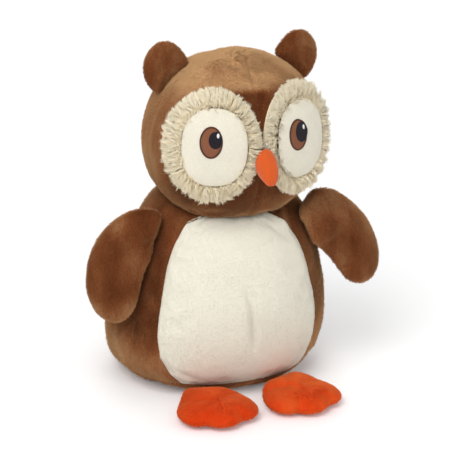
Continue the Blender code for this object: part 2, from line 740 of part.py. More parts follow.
def swings_clear(point, pivot, axis, first, last, clearance):
    """Whether a point that swings about an axis stays clear of the body and the head over the range."""
    for step in range(SWING_STEPS + 1):
        angle = first + (last - first) * step / SWING_STEPS
        swung = pivot + Matrix.Rotation(angle, 3, axis) @ (point - pivot)
        if body_clearance(swung) < clearance:
            return False
        for turn in (-HEAD_TURN, 0, HEAD_TURN):
            met = NECK_POINT + Matrix.Rotation(turn, 3, NECK_AXIS) @ (swung - NECK_POINT)
            if head_share(met) < HEAD_CLEARANCE_SHARE:
                return False
    return True


def drawn_clear(start, end, is_clear):
    """The point nearest to end, on the way there from start, that is clear."""
    if is_clear(end):
        return end
    near, far = 0, 1
    for _ in range(HALVINGS):
        middle = (near + far) / 2
        if is_clear(start.lerp(end, middle)):
            near = middle
        else:
            far = middle
    return start.lerp(end, near)


def pressed_clear(rows, middle, normal, is_clear):
    """Flattens a stuffed form toward its seam's plane where it would reach into the body."""
    return [[drawn_clear(point - normal * (point - middle).dot(normal), point, is_clear) for point in row]
            for row in rows]


def make_wing(materials, side_name, side):
    top, outward, down, normal = wing_frame(side_name, side)
    carrier = add_carrier(side_name + "_wing_joint", top)
    start = top - outward * WING_ROOT_RADIUS - down * WING_SHOULDERS[side_name]

    hang = WING_HANGS[side_name]
    across = outward * cos(hang) + down * sin(hang)
    along = down * cos(hang) - outward * sin(hang)

    def placed(share):
        twist = WING_TWISTS[side_name] * side * min(max(share[1], 0), 1)
        twisted = Matrix.Rotation(twist, 3, along) @ across
        return start + twisted * share[0] * WING_WIDTH + along * share[1] * WING_LENGTH

    def is_clear(point):
        return swings_clear(
            point, top, down * side, -WING_BACK[side_name], WING_FORWARD[side_name], WING_CLEARANCE)

    middle = placed(WING_MIDDLE_SHARE)
    outline = wound([drawn_clear(middle, placed(share), is_clear) for share in WING_OUTLINE_SHARES], normal)
    half = WING_THICKNESS / 2
    rows, seam = pillow_rows(outline, middle, normal, half, half, PILLOW_RING_SHARES)
    rows = pressed_clear(rows, middle, normal, is_clear)
    names = [side_name + tail for tail in ("_wing_front_panel", "_wing_back_panel", "_wing_filling")]
    make_pillow(rows, seam, normal, CLOTH, names, (materials["brown"], materials["filling"]), carrier)
    print(side_name, "wing axis through", tuple(top), "along", tuple(down))


# Ears: rounded flaps, sewn into the head's side seams over the front corners of the crown.

def crown_point(share):
    """The head's upper surface in the ears' plane, at a share of half of the head's width from the middle."""
    plan = share ** HEAD_PLAN_POWER + (EAR_BEHIND / HEAD_BACK) ** HEAD_PLAN_POWER
    high = (1 - plan ** (HEAD_SIDE_POWER / HEAD_PLAN_POWER)) ** (1 / HEAD_SIDE_POWER)
    return Vector((share * HEAD_WIDTH / 2, EAR_BEHIND - NECK_FORWARD, HEAD_CENTRE_HEIGHT + HEAD_RISE * high))


def make_ear(materials, head, side_name, side):
    inner, outer = crown_point(EAR_INNER_SHARE), crown_point(EAR_OUTER_SHARE)
    along = (outer - inner) / 2
    away = FORWARD.cross(along).normalized()
    middle = (inner + outer) / 2 + away * LAYER_GAP
    crest = crown_point((EAR_INNER_SHARE + EAR_OUTER_SHARE) / 2)
    bulge = (crest - middle).dot(away)
    outline = [middle + along * share[0] + away * EAR_HEIGHT * share[1] for share in EAR_OUTLINE_SHARES]
    for share in EAR_BASE_SHARES:
        reach = (EAR_INNER_SHARE * (1 - share) + EAR_OUTER_SHARE * (1 + share)) / 2
        outline.append(crown_point(reach) + away * LAYER_GAP)
    centre = middle + along * EAR_MIDDLE_SHARE[0] + away * EAR_HEIGHT * EAR_MIDDLE_SHARE[1]
    hinge = middle + away * bulge / 2
    outline, centre, hinge = [mirrored(points, side) for points in (outline, [centre], [hinge])]
    carrier = add_carrier(side_name + "_ear_joint", hinge[0])
    outline = wound(outline, FORWARD)
    half = EAR_THICKNESS / 2
    rows, seam = pillow_rows(outline, centre[0], FORWARD, half, half, EAR_RING_SHARES)
    names = (side_name + "_ear_front_panel", side_name + "_ear_back_panel", None)
    make_pillow(rows, seam, FORWARD, EAR_CLOTH, names, (materials["brown"], None), carrier)
    axis = mirrored([along.normalized()], side)[0]
    print(side_name, "ear axis through", tuple(hinge[0]), "along", tuple(axis))


def mirrored(points, side):
    return [Vector((side * point.x, point.y, point.z)) for point in points]


# Feet: flat stuffed forms with three toes, sewn into the seam between the belly and the base.

def base_seam_point(angle):
    point = body_point(BODY_ROW_SHARES[BASE_SEAM_ROW], angle)
    step = body_point(BODY_ROW_SHARES[BASE_SEAM_ROW], angle + SEAM_STEP) - point
    return point + step.cross(UP).normalized() * LAYER_GAP


def make_foot(materials, side_name, side):
    bearing = FOOT_BEARINGS[side_name]
    root = base_seam_point(bearing)
    forward = Vector((sin(FOOT_SPLAY), -cos(FOOT_SPLAY), 0))
    across = Vector((cos(FOOT_SPLAY), sin(FOOT_SPLAY), 0))
    floor = Vector((root.x, root.y, 0))

    def root_point(distance):
        low, high = 0, pi / 2
        for _ in range(HALVINGS):
            angle = (low + high) / 2
            if (base_seam_point(angle) - root).dot(across) > distance:
                high = angle
            else:
                low = angle
        return base_seam_point(angle)

    half_width = FOOT_WIDTH / 2
    other_shares = tuple((-share[0], share[1]) for share in reversed(FOOT_HALF_SHARES))
    shares = FOOT_HALF_SHARES + ((0, 1),) + other_shares
    outline = []
    for sideways, length in shares:
        height = root.z + (FOOT_SEAM_HEIGHT - root.z) * min(1, length / FOOT_SLOPE_SHARE)
        outline.append(
            floor + across * sideways * half_width + forward * length * FOOT_LENGTH + UP * height)
    corner = FOOT_HALF_SHARES[0][0]
    outline[0] = root_point(corner * half_width)
    outline[-1] = root_point(-corner * half_width)
    for share in FOOT_ROOT_SHARES:
        outline.append(root_point(share * corner * half_width))
    middle = floor + forward * FOOT_LENGTH * FOOT_MIDDLE_SHARE + UP * FOOT_SEAM_HEIGHT
    sole_middle = floor + forward * FOOT_LENGTH * FOOT_MIDDLE_SHARE

    hinge = (base_seam_point(bearing + SEAM_STEP) - root).normalized()

    def is_clear(point):
        return swings_clear(point, root, -hinge, -FOOT_DOWN, FOOT_UP, FOOT_CLEARANCE)

    outline = [drawn_clear(middle, point, is_clear) for point in outline]
    carrier = add_carrier(side_name + "_foot_joint", mirrored([root], side)[0])
    outline = wound(outline, UP)
    rows, seam = pillow_rows(outline, middle, UP, 0, FOOT_RISE, PILLOW_RING_SHARES)
    sole = [[sole_middle] * len(outline)]
    sole.append([sole_middle + (Vector((point.x, point.y, 0)) - sole_middle) * SOLE_EDGE_SHARE
                 for point in outline])
    rows = [[drawn_clear(middle, point, is_clear) for point in row] for row in sole + rows[seam:]]
    if side < 0:
        rows = [mirrored(row[::-1], side) for row in rows]
    names = [side_name + tail for tail in ("_foot_top_panel", "_foot_sole_panel", "_foot_filling")]
    make_pillow(rows, len(sole), UP, FOOT_CLOTH, names, (materials["foot"], materials["filling"]), carrier)
    axis = mirrored([-hinge], side)[0]
    print(side_name, "foot axis through", tuple(carrier.location), "along", tuple(axis))


def build():
    for old in list(bpy.data.objects):
        bpy.data.objects.remove(old, do_unlink=True)
    materials = make_materials()
    make_body(materials)
    head = add_carrier("head_joint", NECK_POINT)
    make_head(materials, head)
    for side_name, side in SIDES:
        make_eye(materials, head, side_name, side)
        make_ear(materials, head, side_name, side)
        make_wing(materials, side_name, side)
        make_foot(materials, side_name, side)
    make_beak(materials, head)


build()
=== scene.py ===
"""The looks of the plush owl, in the order in which the toy is sewn, stuffed and put together.

Each stuffed form starts from the outer sides of its CAD panels. They are joined along the seams, stuffed
by a cloth simulation with the seams held, cut into panels again and given their pile.
"""

import json
from math import cos, pi, radians, sin

import bmesh
import bpy
import numpy as np
from mathutils import Matrix, Vector, noise
from mathutils.bvhtree import BVHTree


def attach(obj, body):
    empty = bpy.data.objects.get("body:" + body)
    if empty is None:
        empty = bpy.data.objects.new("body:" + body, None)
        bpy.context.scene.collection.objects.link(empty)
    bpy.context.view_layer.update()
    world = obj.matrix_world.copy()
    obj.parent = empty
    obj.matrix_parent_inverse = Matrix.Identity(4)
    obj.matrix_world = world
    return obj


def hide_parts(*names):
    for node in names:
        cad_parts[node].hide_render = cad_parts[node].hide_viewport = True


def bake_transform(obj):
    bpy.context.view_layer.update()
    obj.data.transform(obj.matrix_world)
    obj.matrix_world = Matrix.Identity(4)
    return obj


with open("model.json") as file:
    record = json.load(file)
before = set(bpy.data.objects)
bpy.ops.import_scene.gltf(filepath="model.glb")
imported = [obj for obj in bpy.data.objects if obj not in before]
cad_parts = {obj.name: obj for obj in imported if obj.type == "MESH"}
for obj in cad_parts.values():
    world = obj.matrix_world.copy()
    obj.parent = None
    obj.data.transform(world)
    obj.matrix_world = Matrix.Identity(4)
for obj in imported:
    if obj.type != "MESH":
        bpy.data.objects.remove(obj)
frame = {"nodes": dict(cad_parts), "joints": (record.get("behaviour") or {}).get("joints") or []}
nodes = frame["nodes"]
joints = {joint["name"]: joint for joint in frame["joints"]}
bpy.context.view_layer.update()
bpy.ops.object.select_all(action="DESELECT")

# The body: a belly of smooth cream plush between two brown sides, over a round base. The panels are sewn
# inside out, turned, filled with fibre and closed. The pile is short and combed down.

WELD = 0.00003  # joins the loose triangles of a CAD node
SEAM_WELD = 0.0013  # joins two panels across the gap along their seam
LEAST_OUTWARD = 0.45  # cosine of an outer face's angle to the way out


def search_tree(names):
    joined = bmesh.new()
    for name in names:
        joined.from_mesh(nodes[name].data)
    tree = BVHTree.FromBMesh(joined)
    joined.free()
    return tree


def outside_of(fillings):
    """Tells a panel's outer faces from the others: they look straight away from the filling."""
    tree = search_tree(fillings)

    def is_outer(face):
        centre = face.calc_center_median()
        nearest, _, _, distance = tree.find_nearest(centre)
        return face.normal.dot(centre - nearest) > LEAST_OUTWARD * distance

    return is_outer


def new_piece(name, mesh):
    piece = bpy.data.objects.new(name, mesh)
    bpy.context.scene.collection.objects.link(piece)
    return piece


def joined_skin(name, panels, is_outer):
    """One skin from the outer sides of the panels, joined along the seams.

    Each face keeps its panel's number as its material index.
    """
    skin = bmesh.new()
    sheet = bpy.data.meshes.new(name)
    for number, panel in enumerate(panels):
        part = bmesh.new()
        part.from_mesh(nodes[panel].data)
        bmesh.ops.remove_doubles(part, verts=part.verts, dist=WELD)
        hidden = [face for face in part.faces if not is_outer(face)]
        bmesh.ops.delete(part, geom=hidden, context="FACES")
        for face in part.faces:
            face.material_index = number
        part.to_mesh(sheet)
        part.free()
        skin.from_mesh(sheet)
    bmesh.ops.remove_doubles(skin, verts=skin.verts, dist=SEAM_WELD)
    bmesh.ops.join_triangles(
        skin, faces=skin.faces, cmp_materials=True, angle_face_threshold=radians(60),
        angle_shape_threshold=radians(70))
    bmesh.ops.recalc_face_normals(skin, faces=skin.faces)
    skin.to_mesh(sheet)
    skin.free()
    return new_piece(name, sheet)


def apply_last(piece):
    bpy.ops.object.select_all(action="DESELECT")
    piece.select_set(True)
    bpy.context.view_layer.objects.active = piece
    bpy.ops.object.modifier_apply(modifier=piece.modifiers[-1].name)


def apply_modifier(piece, kind, **settings):
    modifier = piece.modifiers.new(kind.lower(), kind)
    for name, value in settings.items():
        setattr(modifier, name, value)
    apply_last(piece)


def subdivide(piece, levels):
    apply_modifier(piece, "SUBSURF", levels=levels, render_levels=levels)


def positions(mesh):
    found = np.empty(len(mesh.vertices) * 3, np.float32)
    mesh.vertices.foreach_get("co", found)
    return found.reshape(-1, 3).astype(float)


def place(mesh, points):
    mesh.vertices.foreach_set("co", points.astype(np.float32).ravel())
    mesh.update()


def vertex_normals(mesh):
    found = np.empty(len(mesh.vertices) * 3, np.float32)
    mesh.vertex_normals.foreach_get("vector", found)
    return found.reshape(-1, 3).astype(float)


def edges_of_panels(mesh):
    """The vertices along the seams, and those along the open edges."""
    work = bmesh.new()
    work.from_mesh(mesh)
    seams, rims = set(), set()
    for edge in work.edges:
        if len(edge.link_faces) == 1:
            rims.update(vertex.index for vertex in edge.verts)
        elif len({face.material_index for face in edge.link_faces}) > 1:
            seams.update(vertex.index for vertex in edge.verts)
    work.free()
    return sorted(seams), sorted(rims)


def smooth_share(share):
    share = np.clip(share, 0, 1)
    return share * share * (3 - 2 * share)


BLOCK = 2000  # points compared at a time


def nearness(points, marks, width):
    """1 at the marked points, falling smoothly to 0 at width from them."""
    if not len(marks):
        return np.zeros(len(points))
    distance = np.empty(len(points))
    for start in range(0, len(points), BLOCK):
        block = points[start:start + BLOCK]
        distance[start:start + BLOCK] = np.sqrt(((block[:, None] - marks[None]) ** 2).sum(2)).min(1)
    return smooth_share(1 - distance / width)


OPEN_EDGE_WIDTH = 0.012  # along an open edge a skin stays as it is cut
STUFFING_STEPS = 20
CLOTH_SETTINGS = {
    "quality": 4, "mass": 0.2, "tension_stiffness": 20, "compression_stiffness": 12, "shear_stiffness": 6,
    "bending_stiffness": 0.6, "use_pressure": True, "uniform_pressure_force": 4,
    "vertex_group_mass": "seams"}


def stuffed(form, inset, tuck, tuck_width, swell, slack, shape=None):
    """Stuffs a skin. It starts inset, is drawn in by tuck along the seams, and swells by at most swell."""
    subdivide(form, 2)
    mesh = form.data
    seams, rims = edges_of_panels(mesh)
    points = positions(mesh)
    drawn = nearness(points, points[seams], tuck_width)
    open_edge = nearness(points, points[rims], OPEN_EDGE_WIDTH)
    depth = (inset + tuck * drawn) * (1 - open_edge)
    start = points - vertex_normals(mesh) * depth[:, None]
    place(mesh, start)
    pins = form.vertex_groups.new(name="seams")
    pins.add(sorted(set(seams) | set(rims)), 1, "REPLACE")
    cloth = form.modifiers.new("cloth", "CLOTH")
    for name, value in CLOTH_SETTINGS.items():
        setattr(cloth.settings, name, value)
    cloth.settings.shrink_min = -slack
    cloth.settings.effector_weights.gravity = 0
    cloth.collision_settings.use_collision = False
    scene = bpy.context.scene
    for step in range(STUFFING_STEPS):
        scene.frame_set(step + 1)
    apply_last(form)
    scene.frame_set(1)
    moved = positions(form.data) - start
    length = np.linalg.norm(moved, axis=1)
    keep = np.minimum(1, swell / np.maximum(length, 1e-9))
    place(form.data, start + moved * keep[:, None])
    subdivide(form, 1)
    if shape is not None:
        place(form.data, shape(positions(form.data), vertex_normals(form.data)))
    resting = positions(form.data)
    resting[:, 2] = np.maximum(resting[:, 2], 0)
    place(form.data, resting)
    return form


def cut_panel(form, number, name):
    """One panel of a stuffed form, as a sheet of its own."""
    work = bmesh.new()
    work.from_mesh(form.data)
    others = [face for face in work.faces if face.material_index != number]
    bmesh.ops.delete(work, geom=others, context="FACES")
    for face in work.faces:
        face.material_index = 0
        face.smooth = True
    sheet = bpy.data.meshes.new(name)
    work.to_mesh(sheet)
    work.free()
    return new_piece(name, sheet)


def corners_of(mesh):
    mesh.calc_loop_triangles()
    found = np.empty(len(mesh.loop_triangles) * 3, np.int32)
    mesh.loop_triangles.foreach_get("vertices", found)
    return found.reshape(-1, 3)


def scattered(mesh, normals, count, chance):
    """Points spread evenly over a mesh, with the surface's normal at each."""
    points, triangles = positions(mesh), corners_of(mesh)
    a, b, c = (points[triangles[:, corner]] for corner in range(3))
    area = np.linalg.norm(np.cross(b - a, c - a), axis=1)
    chosen = chance.choice(len(triangles), count, p=area / area.sum())
    first, second = chance.random(count), chance.random(count)
    over = first + second > 1
    first[over], second[over] = 1 - first[over], 1 - second[over]
    weights = np.stack([1 - first - second, first, second], 1)[:, :, None]
    roots = (points[triangles[chosen]] * weights).sum(1)
    normal = (normals[triangles[chosen]] * weights).sum(1)
    return roots, unit(normal)


def unit(vectors):
    return vectors / np.maximum(np.linalg.norm(vectors, axis=1), 1e-12)[:, None]


def waves(points, scale, seed):
    """A smooth field of three numbers over the points, between about -1 and 1."""
    shift = Vector((seed * 3.7, seed * 1.3, seed * 2.9))
    return np.array([noise.noise_vector(Vector(point) * scale + shift) for point in points])


def fibres(roots, normals, toward, length, width):
    """Points and faces of one closed four-sided spike at each root, leaning toward a direction."""
    toward = unit(toward)
    side = unit(np.cross(toward, normals + 0.01))
    other = np.cross(toward, side)
    points = np.empty((len(roots), 4, 3))
    for corner in range(3):
        angle = 2 * pi * corner / 3
        points[:, corner] = roots + width * (side * cos(angle) + other * sin(angle)) - toward * width
    points[:, 3] = roots + toward * length[:, None]
    faces = np.array([(0, 1, 3), (1, 2, 3), (2, 0, 3), (2, 1, 0)])
    faces = (faces[None] + 4 * np.arange(len(roots))[:, None, None]).reshape(-1, 3)
    return points.reshape(-1, 3), faces


def mesh_from(name, points, faces):
    mesh = bpy.data.meshes.new(name)
    mesh.vertices.add(len(points))
    mesh.vertices.foreach_set("co", points.astype(np.float32).ravel())
    mesh.loops.add(3 * len(faces))
    mesh.loops.foreach_set("vertex_index", faces.astype(np.int32).ravel())
    mesh.polygons.add(len(faces))
    mesh.polygons.foreach_set("loop_start", np.arange(0, 3 * len(faces), 3, dtype=np.int32))
    mesh.update(calc_edges=True)
    mesh.shade_smooth()
    return mesh


def softened(mesh, surface_normals, share):
    """Lights fibres mostly as the cloth under them, as dense pile is, whose single fibres don't show."""
    mixed_normals = vertex_normals(mesh) * (1 - share) + surface_normals * share
    mesh.normals_split_custom_set_from_vertices(unit(mixed_normals).tolist())


def set_values(mesh, name, values):
    attribute = mesh.attributes.new(name, "FLOAT", "POINT")
    attribute.data.foreach_set("value", values.astype(np.float32))


def no_nap(points):
    return np.zeros(len(points))


CLOTH_THICKNESS = 0.0012
DRIFT_SCALE = 45  # of the waves in which the pile lies
DRIFT_LEAN = 0.3
DRIFT_LENGTH = 0.2
FIBRE_LEAN = 0.12  # how much single fibres differ in direction
RAGGED_SHARE = 0.35  # of a fibre's length, at most, by which it is shorter than the longest
FLOOR_LENGTH_SHARE = 0.1  # of its length, which a fibre keeps at the floor


def with_pile(panel, count, length, width, seed, lift=0.5, floor=None, nap_and_painted_light=no_nap, soft=0.72):
    """Gives a sheet its thickness and its pile, combed down.

    lift is how far the fibres stand up, and near the height floor they are shorter. nap_and_painted_light
    gives where they show paler or darker, by patches in the nap and by painted light and shade, and soft is
    how far they are lit as the cloth under them is.
    """
    chance = np.random.default_rng(seed)
    count = count
    sheet_normals = vertex_normals(panel.data)
    front = len(sheet_normals)
    roots, normals = scattered(panel.data, sheet_normals, count, chance)
    flow = np.tile([0.0, 0.0, -1.0], (count, 1))
    flow = flow - normals * (flow * normals).sum(1)[:, None]
    drift = waves(roots, DRIFT_SCALE, seed)
    toward = normals * lift + unit(flow) * (1 - lift) + drift * DRIFT_LEAN
    toward += chance.normal(0, FIBRE_LEAN, roots.shape)
    lengths = length * (1 - RAGGED_SHARE * chance.random(count)) * (1 + DRIFT_LENGTH * drift[:, 0])
    if floor is not None:
        lengths = lengths * np.clip((roots[:, 2] - floor) / length, FLOOR_LENGTH_SHARE, 1)
    points, faces = fibres(roots, normals, toward, lengths, width)
    apply_modifier(panel, "SOLIDIFY", thickness=CLOTH_THICKNESS, offset=-1)
    sheet, sheet_faces = positions(panel.data), corners_of(panel.data)
    base_normals = vertex_normals(panel.data)
    mesh = mesh_from(panel.name, np.vstack([sheet, points]), np.vstack([sheet_faces, faces + len(sheet)]))
    softened(mesh, np.vstack([base_normals, np.repeat(normals, 4, 0)]), soft)
    strands = np.repeat(chance.random(count), 4)
    sheet_nap_and_painted_light = np.zeros(len(sheet))
    sheet_nap_and_painted_light[:front] = nap_and_painted_light(sheet[:front])
    set_values(mesh, "tip", np.concatenate([np.zeros(len(sheet)), np.tile([0.0, 0.0, 0.0, 1.0], count)]))
    set_values(mesh, "strand", np.concatenate([np.full(len(sheet), 0.5), strands]))
    set_values(mesh, "nap_and_painted_light", np.concatenate([sheet_nap_and_painted_light, np.repeat(nap_and_painted_light(roots), 4)]))
    old = panel.data
    panel.data = mesh
    bpy.data.meshes.remove(old)
    return panel


def group_with(name, inputs, outputs):
    """An empty shader group with its own input and output node."""
    group = bpy.data.node_groups.new(name, "ShaderNodeTree")
    for label, kind, value in inputs:
        socket = group.interface.new_socket(label, in_out="INPUT", socket_type=kind)
        socket.default_value = value
    for label, kind in outputs:
        group.interface.new_socket(label, in_out="OUTPUT", socket_type=kind)
    start = group.nodes.new("NodeGroupInput")
    end = group.nodes.new("NodeGroupOutput")
    return group, start, end


def set_inputs(node, values):
    for label, value in values.items():
        node.inputs[label].default_value = value


def noise_node(group, vector, scale, detail):
    node = group.nodes.new("ShaderNodeTexNoise")
    set_inputs(node, {"Scale": scale, "Detail": detail, "Roughness": 0.6})
    group.links.new(vector, node.inputs["Vector"])
    return node.outputs["Fac"]


def remapped(group, value, low, high, new_low, new_high):
    node = group.nodes.new("ShaderNodeMapRange")
    set_inputs(node, {"From Min": low, "From Max": high, "To Min": new_low, "To Max": new_high})
    group.links.new(value, node.inputs["Value"])
    return node.outputs["Result"]


def computed(group, operation, *values):
    node = group.nodes.new("ShaderNodeMath")
    node.operation = operation
    for socket, value in zip(node.inputs, values):
        if isinstance(value, (int, float)):
            socket.default_value = value
        else:
            group.links.new(value, socket)
    return node.outputs["Value"]


def mixed(group, share, first, second):
    node = group.nodes.new("ShaderNodeMix")
    node.data_type = "RGBA"
    for index, value in ((0, share), (6, first), (7, second)):
        if isinstance(value, tuple):
            node.inputs[index].default_value = (*value, 1)
        else:
            group.links.new(value, node.inputs[index])
    return node.outputs[2]


def attribute_node(group, name):
    node = group.nodes.new("ShaderNodeAttribute")
    node.attribute_name = name
    return node.outputs["Fac"]


# What makes the pile paler. At level 0 it has the colour of its root, at about 0.5 the middle one and at 1.3
# that of its tip.
PILE_LEVEL = 0.25
TIP_LEVEL = 0.35
PATCH_LEVEL = 0.4
FINE_LEVEL = 0.05
STRAND_LEVEL = 0.12


def make_pile_colour():
    """Pile is darker at its roots, paler at its tips, and paler or darker by nap patches and painted light
    and shade.
    """
    group, start, end = group_with(
        "pile colour",
        [("Root", "NodeSocketColor", (0, 0, 0, 1)), ("Middle", "NodeSocketColor", (0, 0, 0, 1)),
         ("Tip", "NodeSocketColor", (0, 0, 0, 1)), ("Patches", "NodeSocketFloat", 0.5)],
        [("Colour", "NodeSocketColor"), ("Height", "NodeSocketFloat")])
    where = group.nodes.new("ShaderNodeTexCoord").outputs["Object"]
    stretch = group.nodes.new("ShaderNodeMapping")
    stretch.inputs["Scale"].default_value = (1, 1, 0.4)
    group.links.new(where, stretch.inputs["Vector"])
    patches = noise_node(group, stretch.outputs["Vector"], scale=34, detail=4)
    patches = remapped(group, patches, 0.34, 0.66, -1, 1)
    fine = remapped(group, noise_node(group, where, scale=700, detail=2), 0.3, 0.7, -1, 1)
    patched = computed(group, "MULTIPLY", patches, start.outputs["Patches"])
    level = computed(group, "MULTIPLY_ADD", attribute_node(group, "tip"), TIP_LEVEL, PILE_LEVEL)
    level = computed(group, "MULTIPLY_ADD", patched, PATCH_LEVEL, level)
    level = computed(group, "MULTIPLY_ADD", fine, FINE_LEVEL, level)
    level = computed(group, "MULTIPLY_ADD", attribute_node(group, "strand"), STRAND_LEVEL, level)
    # The attribute holds patches in the nap together with painted light and painted shade.
    level = computed(group, "ADD", attribute_node(group, "nap_and_painted_light"), level)
    low = remapped(group, level, 0, 0.55, 0, 1)
    high = remapped(group, level, 0.5, 1.3, 0, 1)
    colour = mixed(group, low, start.outputs["Root"], start.outputs["Middle"])
    colour = mixed(group, high, colour, start.outputs["Tip"])
    group.links.new(colour, end.inputs["Colour"])
    group.links.new(fine, end.inputs["Height"])
    return group


pile_colour = make_pile_colour()


def new_material(name):
    material = bpy.data.materials.new(name)
    material.use_nodes = True
    tree = material.node_tree
    return material, tree, tree.nodes["Principled BSDF"]


def add_bump(tree, shader, height, strength, distance):
    bump = tree.nodes.new("ShaderNodeBump")
    set_inputs(bump, {"Strength": strength, "Distance": distance})
    tree.links.new(height, bump.inputs["Height"])
    tree.links.new(bump.outputs["Normal"], shader.inputs["Normal"])


def plush(name, root, middle, tip, patches, sheen_colour, painted_sheen_share, sheen):
    """Short pile. Seen edge-on, its colour turns to sheen_colour: painted sheen, added to the shader's own.
    """
    material, tree, shader = new_material(name)
    colour = tree.nodes.new("ShaderNodeGroup")
    colour.node_tree = pile_colour
    set_inputs(colour, {"Root": (*root, 1), "Middle": (*middle, 1), "Tip": (*tip, 1), "Patches": patches})
    # Painted sheen: toward the outline the base colour is mixed toward sheen_colour by painted_sheen_share.
    facing = tree.nodes.new("ShaderNodeLayerWeight")
    set_inputs(facing, {"Blend": 0.35})
    edge = computed(tree, "MULTIPLY", computed(tree, "POWER", facing.outputs["Facing"], 1.6), painted_sheen_share)
    with_painted_sheen = mixed(tree, edge, colour.outputs["Colour"], sheen_colour)
    tree.links.new(with_painted_sheen, shader.inputs["Base Color"])
    add_bump(tree, shader, colour.outputs["Height"], strength=0.2, distance=0.0004)
    set_inputs(shader, {
        "Roughness": 0.9, "Specular IOR Level": 0.05, "Sheen Weight": sheen, "Sheen Roughness": 0.4,
        "Sheen Tint": (*sheen_colour, 1)})
    return material


brown_plush = plush(
    "brown plush", root=(0.110, 0.030, 0.010), middle=(0.29, 0.092, 0.031), tip=(0.66, 0.385, 0.185),
    patches=0.6, sheen_colour=(0.60, 0.35, 0.17), painted_sheen_share=0.75, sheen=0.3)
cream_plush = plush(
    "cream plush", root=(0.78, 0.73, 0.60), middle=(0.84, 0.805, 0.69), tip=(0.88, 0.85, 0.75),
    patches=0.05, sheen_colour=(0.88, 0.85, 0.75), painted_sheen_share=0.3, sheen=0.05)


def finish_piece(piece, material, body, slot, *replaced, fill=0.8):
    piece.data.materials.append(material)
    if isinstance(body, str):
        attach(piece, body)
    else:
        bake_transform(piece)
    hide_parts(*replaced)


NECK_POINT = np.array(joints["head_turn"]["pos_m"])
NECK_AXIS = np.array(joints["head_turn"]["axis"])
NECK_BLEND = (0.010, 0.001)  # depths under the neck seam
BELLY_CREASE = ((-0.0080, -0.0792, 0.0990), (0.0010, -0.0785, 0.0400))  # its upper and lower end
BELLY_CREASE_DEPTH = 0.0036
BELLY_CREASE_WIDTH = 0.0038
CREASE_REACH = 0.03  # from front to back


def crease_share(points, start, end, width):
    """1 on the line between two points, seen from the front, and 0 at width from it and at its ends."""
    start, end = np.array(start), np.array(end)
    along = end - start
    part = np.clip(((points - start) @ along) / (along @ along), 0, 1)
    offset = points - (start + part[:, None] * along)
    distance = np.hypot(offset[:, 0], offset[:, 2])
    near = np.abs(offset[:, 1]) < CREASE_REACH
    return near * smooth_share(1 - distance / width) * np.sin(pi * np.clip(part, 0.02, 0.98))


def creased_belly(points, normals):
    share = crease_share(points, *BELLY_CREASE, BELLY_CREASE_WIDTH)
    return points - normals * (BELLY_CREASE_DEPTH * share)[:, None]


SIDES_PALER_BELOW = 0.060
SIDES_PALE_BLUR = 0.03


def body_nap_and_painted_shade(points):
    """Paler low on the sides; higher up, under the wings, darker: painted shade. The waves are patches in
    the nap.
    """
    drift = waves(points, scale=24, seed=77)[:, 0]
    patch = waves(points, scale=60, seed=12)[:, 1]
    low = smooth_share((SIDES_PALER_BELOW - points[:, 2]) / SIDES_PALE_BLUR)
    # Painted shade: the sides are darkened overall and lifted only low down, so they are darker under the
    # wings.
    return 0.66 * low - 0.26 + 0.24 * drift + 0.20 * patch


neck_ends = [tuple(NECK_POINT - NECK_AXIS * depth) for depth in NECK_BLEND]
neck_blend = ("torso", "head", *neck_ends)
BODY_PANELS = ("belly_panel", "left_body_panel", "right_body_panel", "base_panel")
body = joined_skin("body", BODY_PANELS, outside_of(("body_filling", "pellet_pouch")))
stuffed(body, inset=0.0022, tuck=0.0014, tuck_width=0.008, swell=0.0030, slack=0.02, shape=creased_belly)
belly = with_pile(
    cut_panel(body, 0, "belly"), count=26000, length=0.0009, width=0.00023, seed=1, lift=0.3, floor=0.001,
    soft=0.92)
finish_piece(belly, cream_plush, neck_blend, "cream", "belly_panel")
for number, side in ((1, "left"), (2, "right")):
    panel = with_pile(
        cut_panel(body, number, side + "_side"), count=30000, length=0.0032, width=0.00031, seed=1 + number,
        floor=0.0015, nap_and_painted_light=body_nap_and_painted_shade)
    finish_piece(panel, brown_plush, neck_blend, "brown", side + "_body_panel")
base = with_pile(
    cut_panel(body, 3, "base"), count=8000, length=0.0016, width=0.0003, seed=4, lift=0.3, floor=0.0012)
finish_piece(base, brown_plush, "torso", "brown", "base_panel", "pellet_pouch", "body_filling")
body_tree = BVHTree.FromObject(body, bpy.context.evaluated_depsgraph_get())

# The head: four brown panels sewn over the crown, filled with fibre. Its cloth folds lightly over the brow,
# and its pile is painted paler on the crown: painted light from above.

BROW_FOLDS = (  # start, end, depth and width
    ((-0.0270, -0.066, 0.2480), (0.0060, -0.067, 0.2450), 0.0022, 0.0060),
    ((-0.0060, -0.060, 0.2555), (0.0190, -0.056, 0.2525), 0.0016, 0.0050),
    ((0.0010, -0.055, 0.2620), (0.0230, -0.051, 0.2600), 0.0012, 0.0050),
)


def folded_brow(points, normals):
    for start, end, depth, width in BROW_FOLDS:
        points = points - normals * (depth * crease_share(points, start, end, width))[:, None]
    return points


# Each place is where painted light or painted shade on the pile begins and over how much it spreads.
CROWN_FROM = (0.226, 0.030)
CROWN_WAVE = 0.006
SIDES_FROM = (0.050, 0.020)
CHIN_FROM = (0.190, 0.025)
CHIN_FRONT = (-0.020, 0.030)
BROW_FROM = (0.250, 0.006)
BROW_FRONT = (-0.040, 0.015)
NOSE_MIDDLE = -0.003
NOSE_HALF_WIDTH = 0.019


def above(values, place_and_blur):
    return smooth_share((values - place_and_blur[0]) / place_and_blur[1])


def below(values, place_and_blur):
    return smooth_share((place_and_blur[0] - values) / place_and_blur[1])


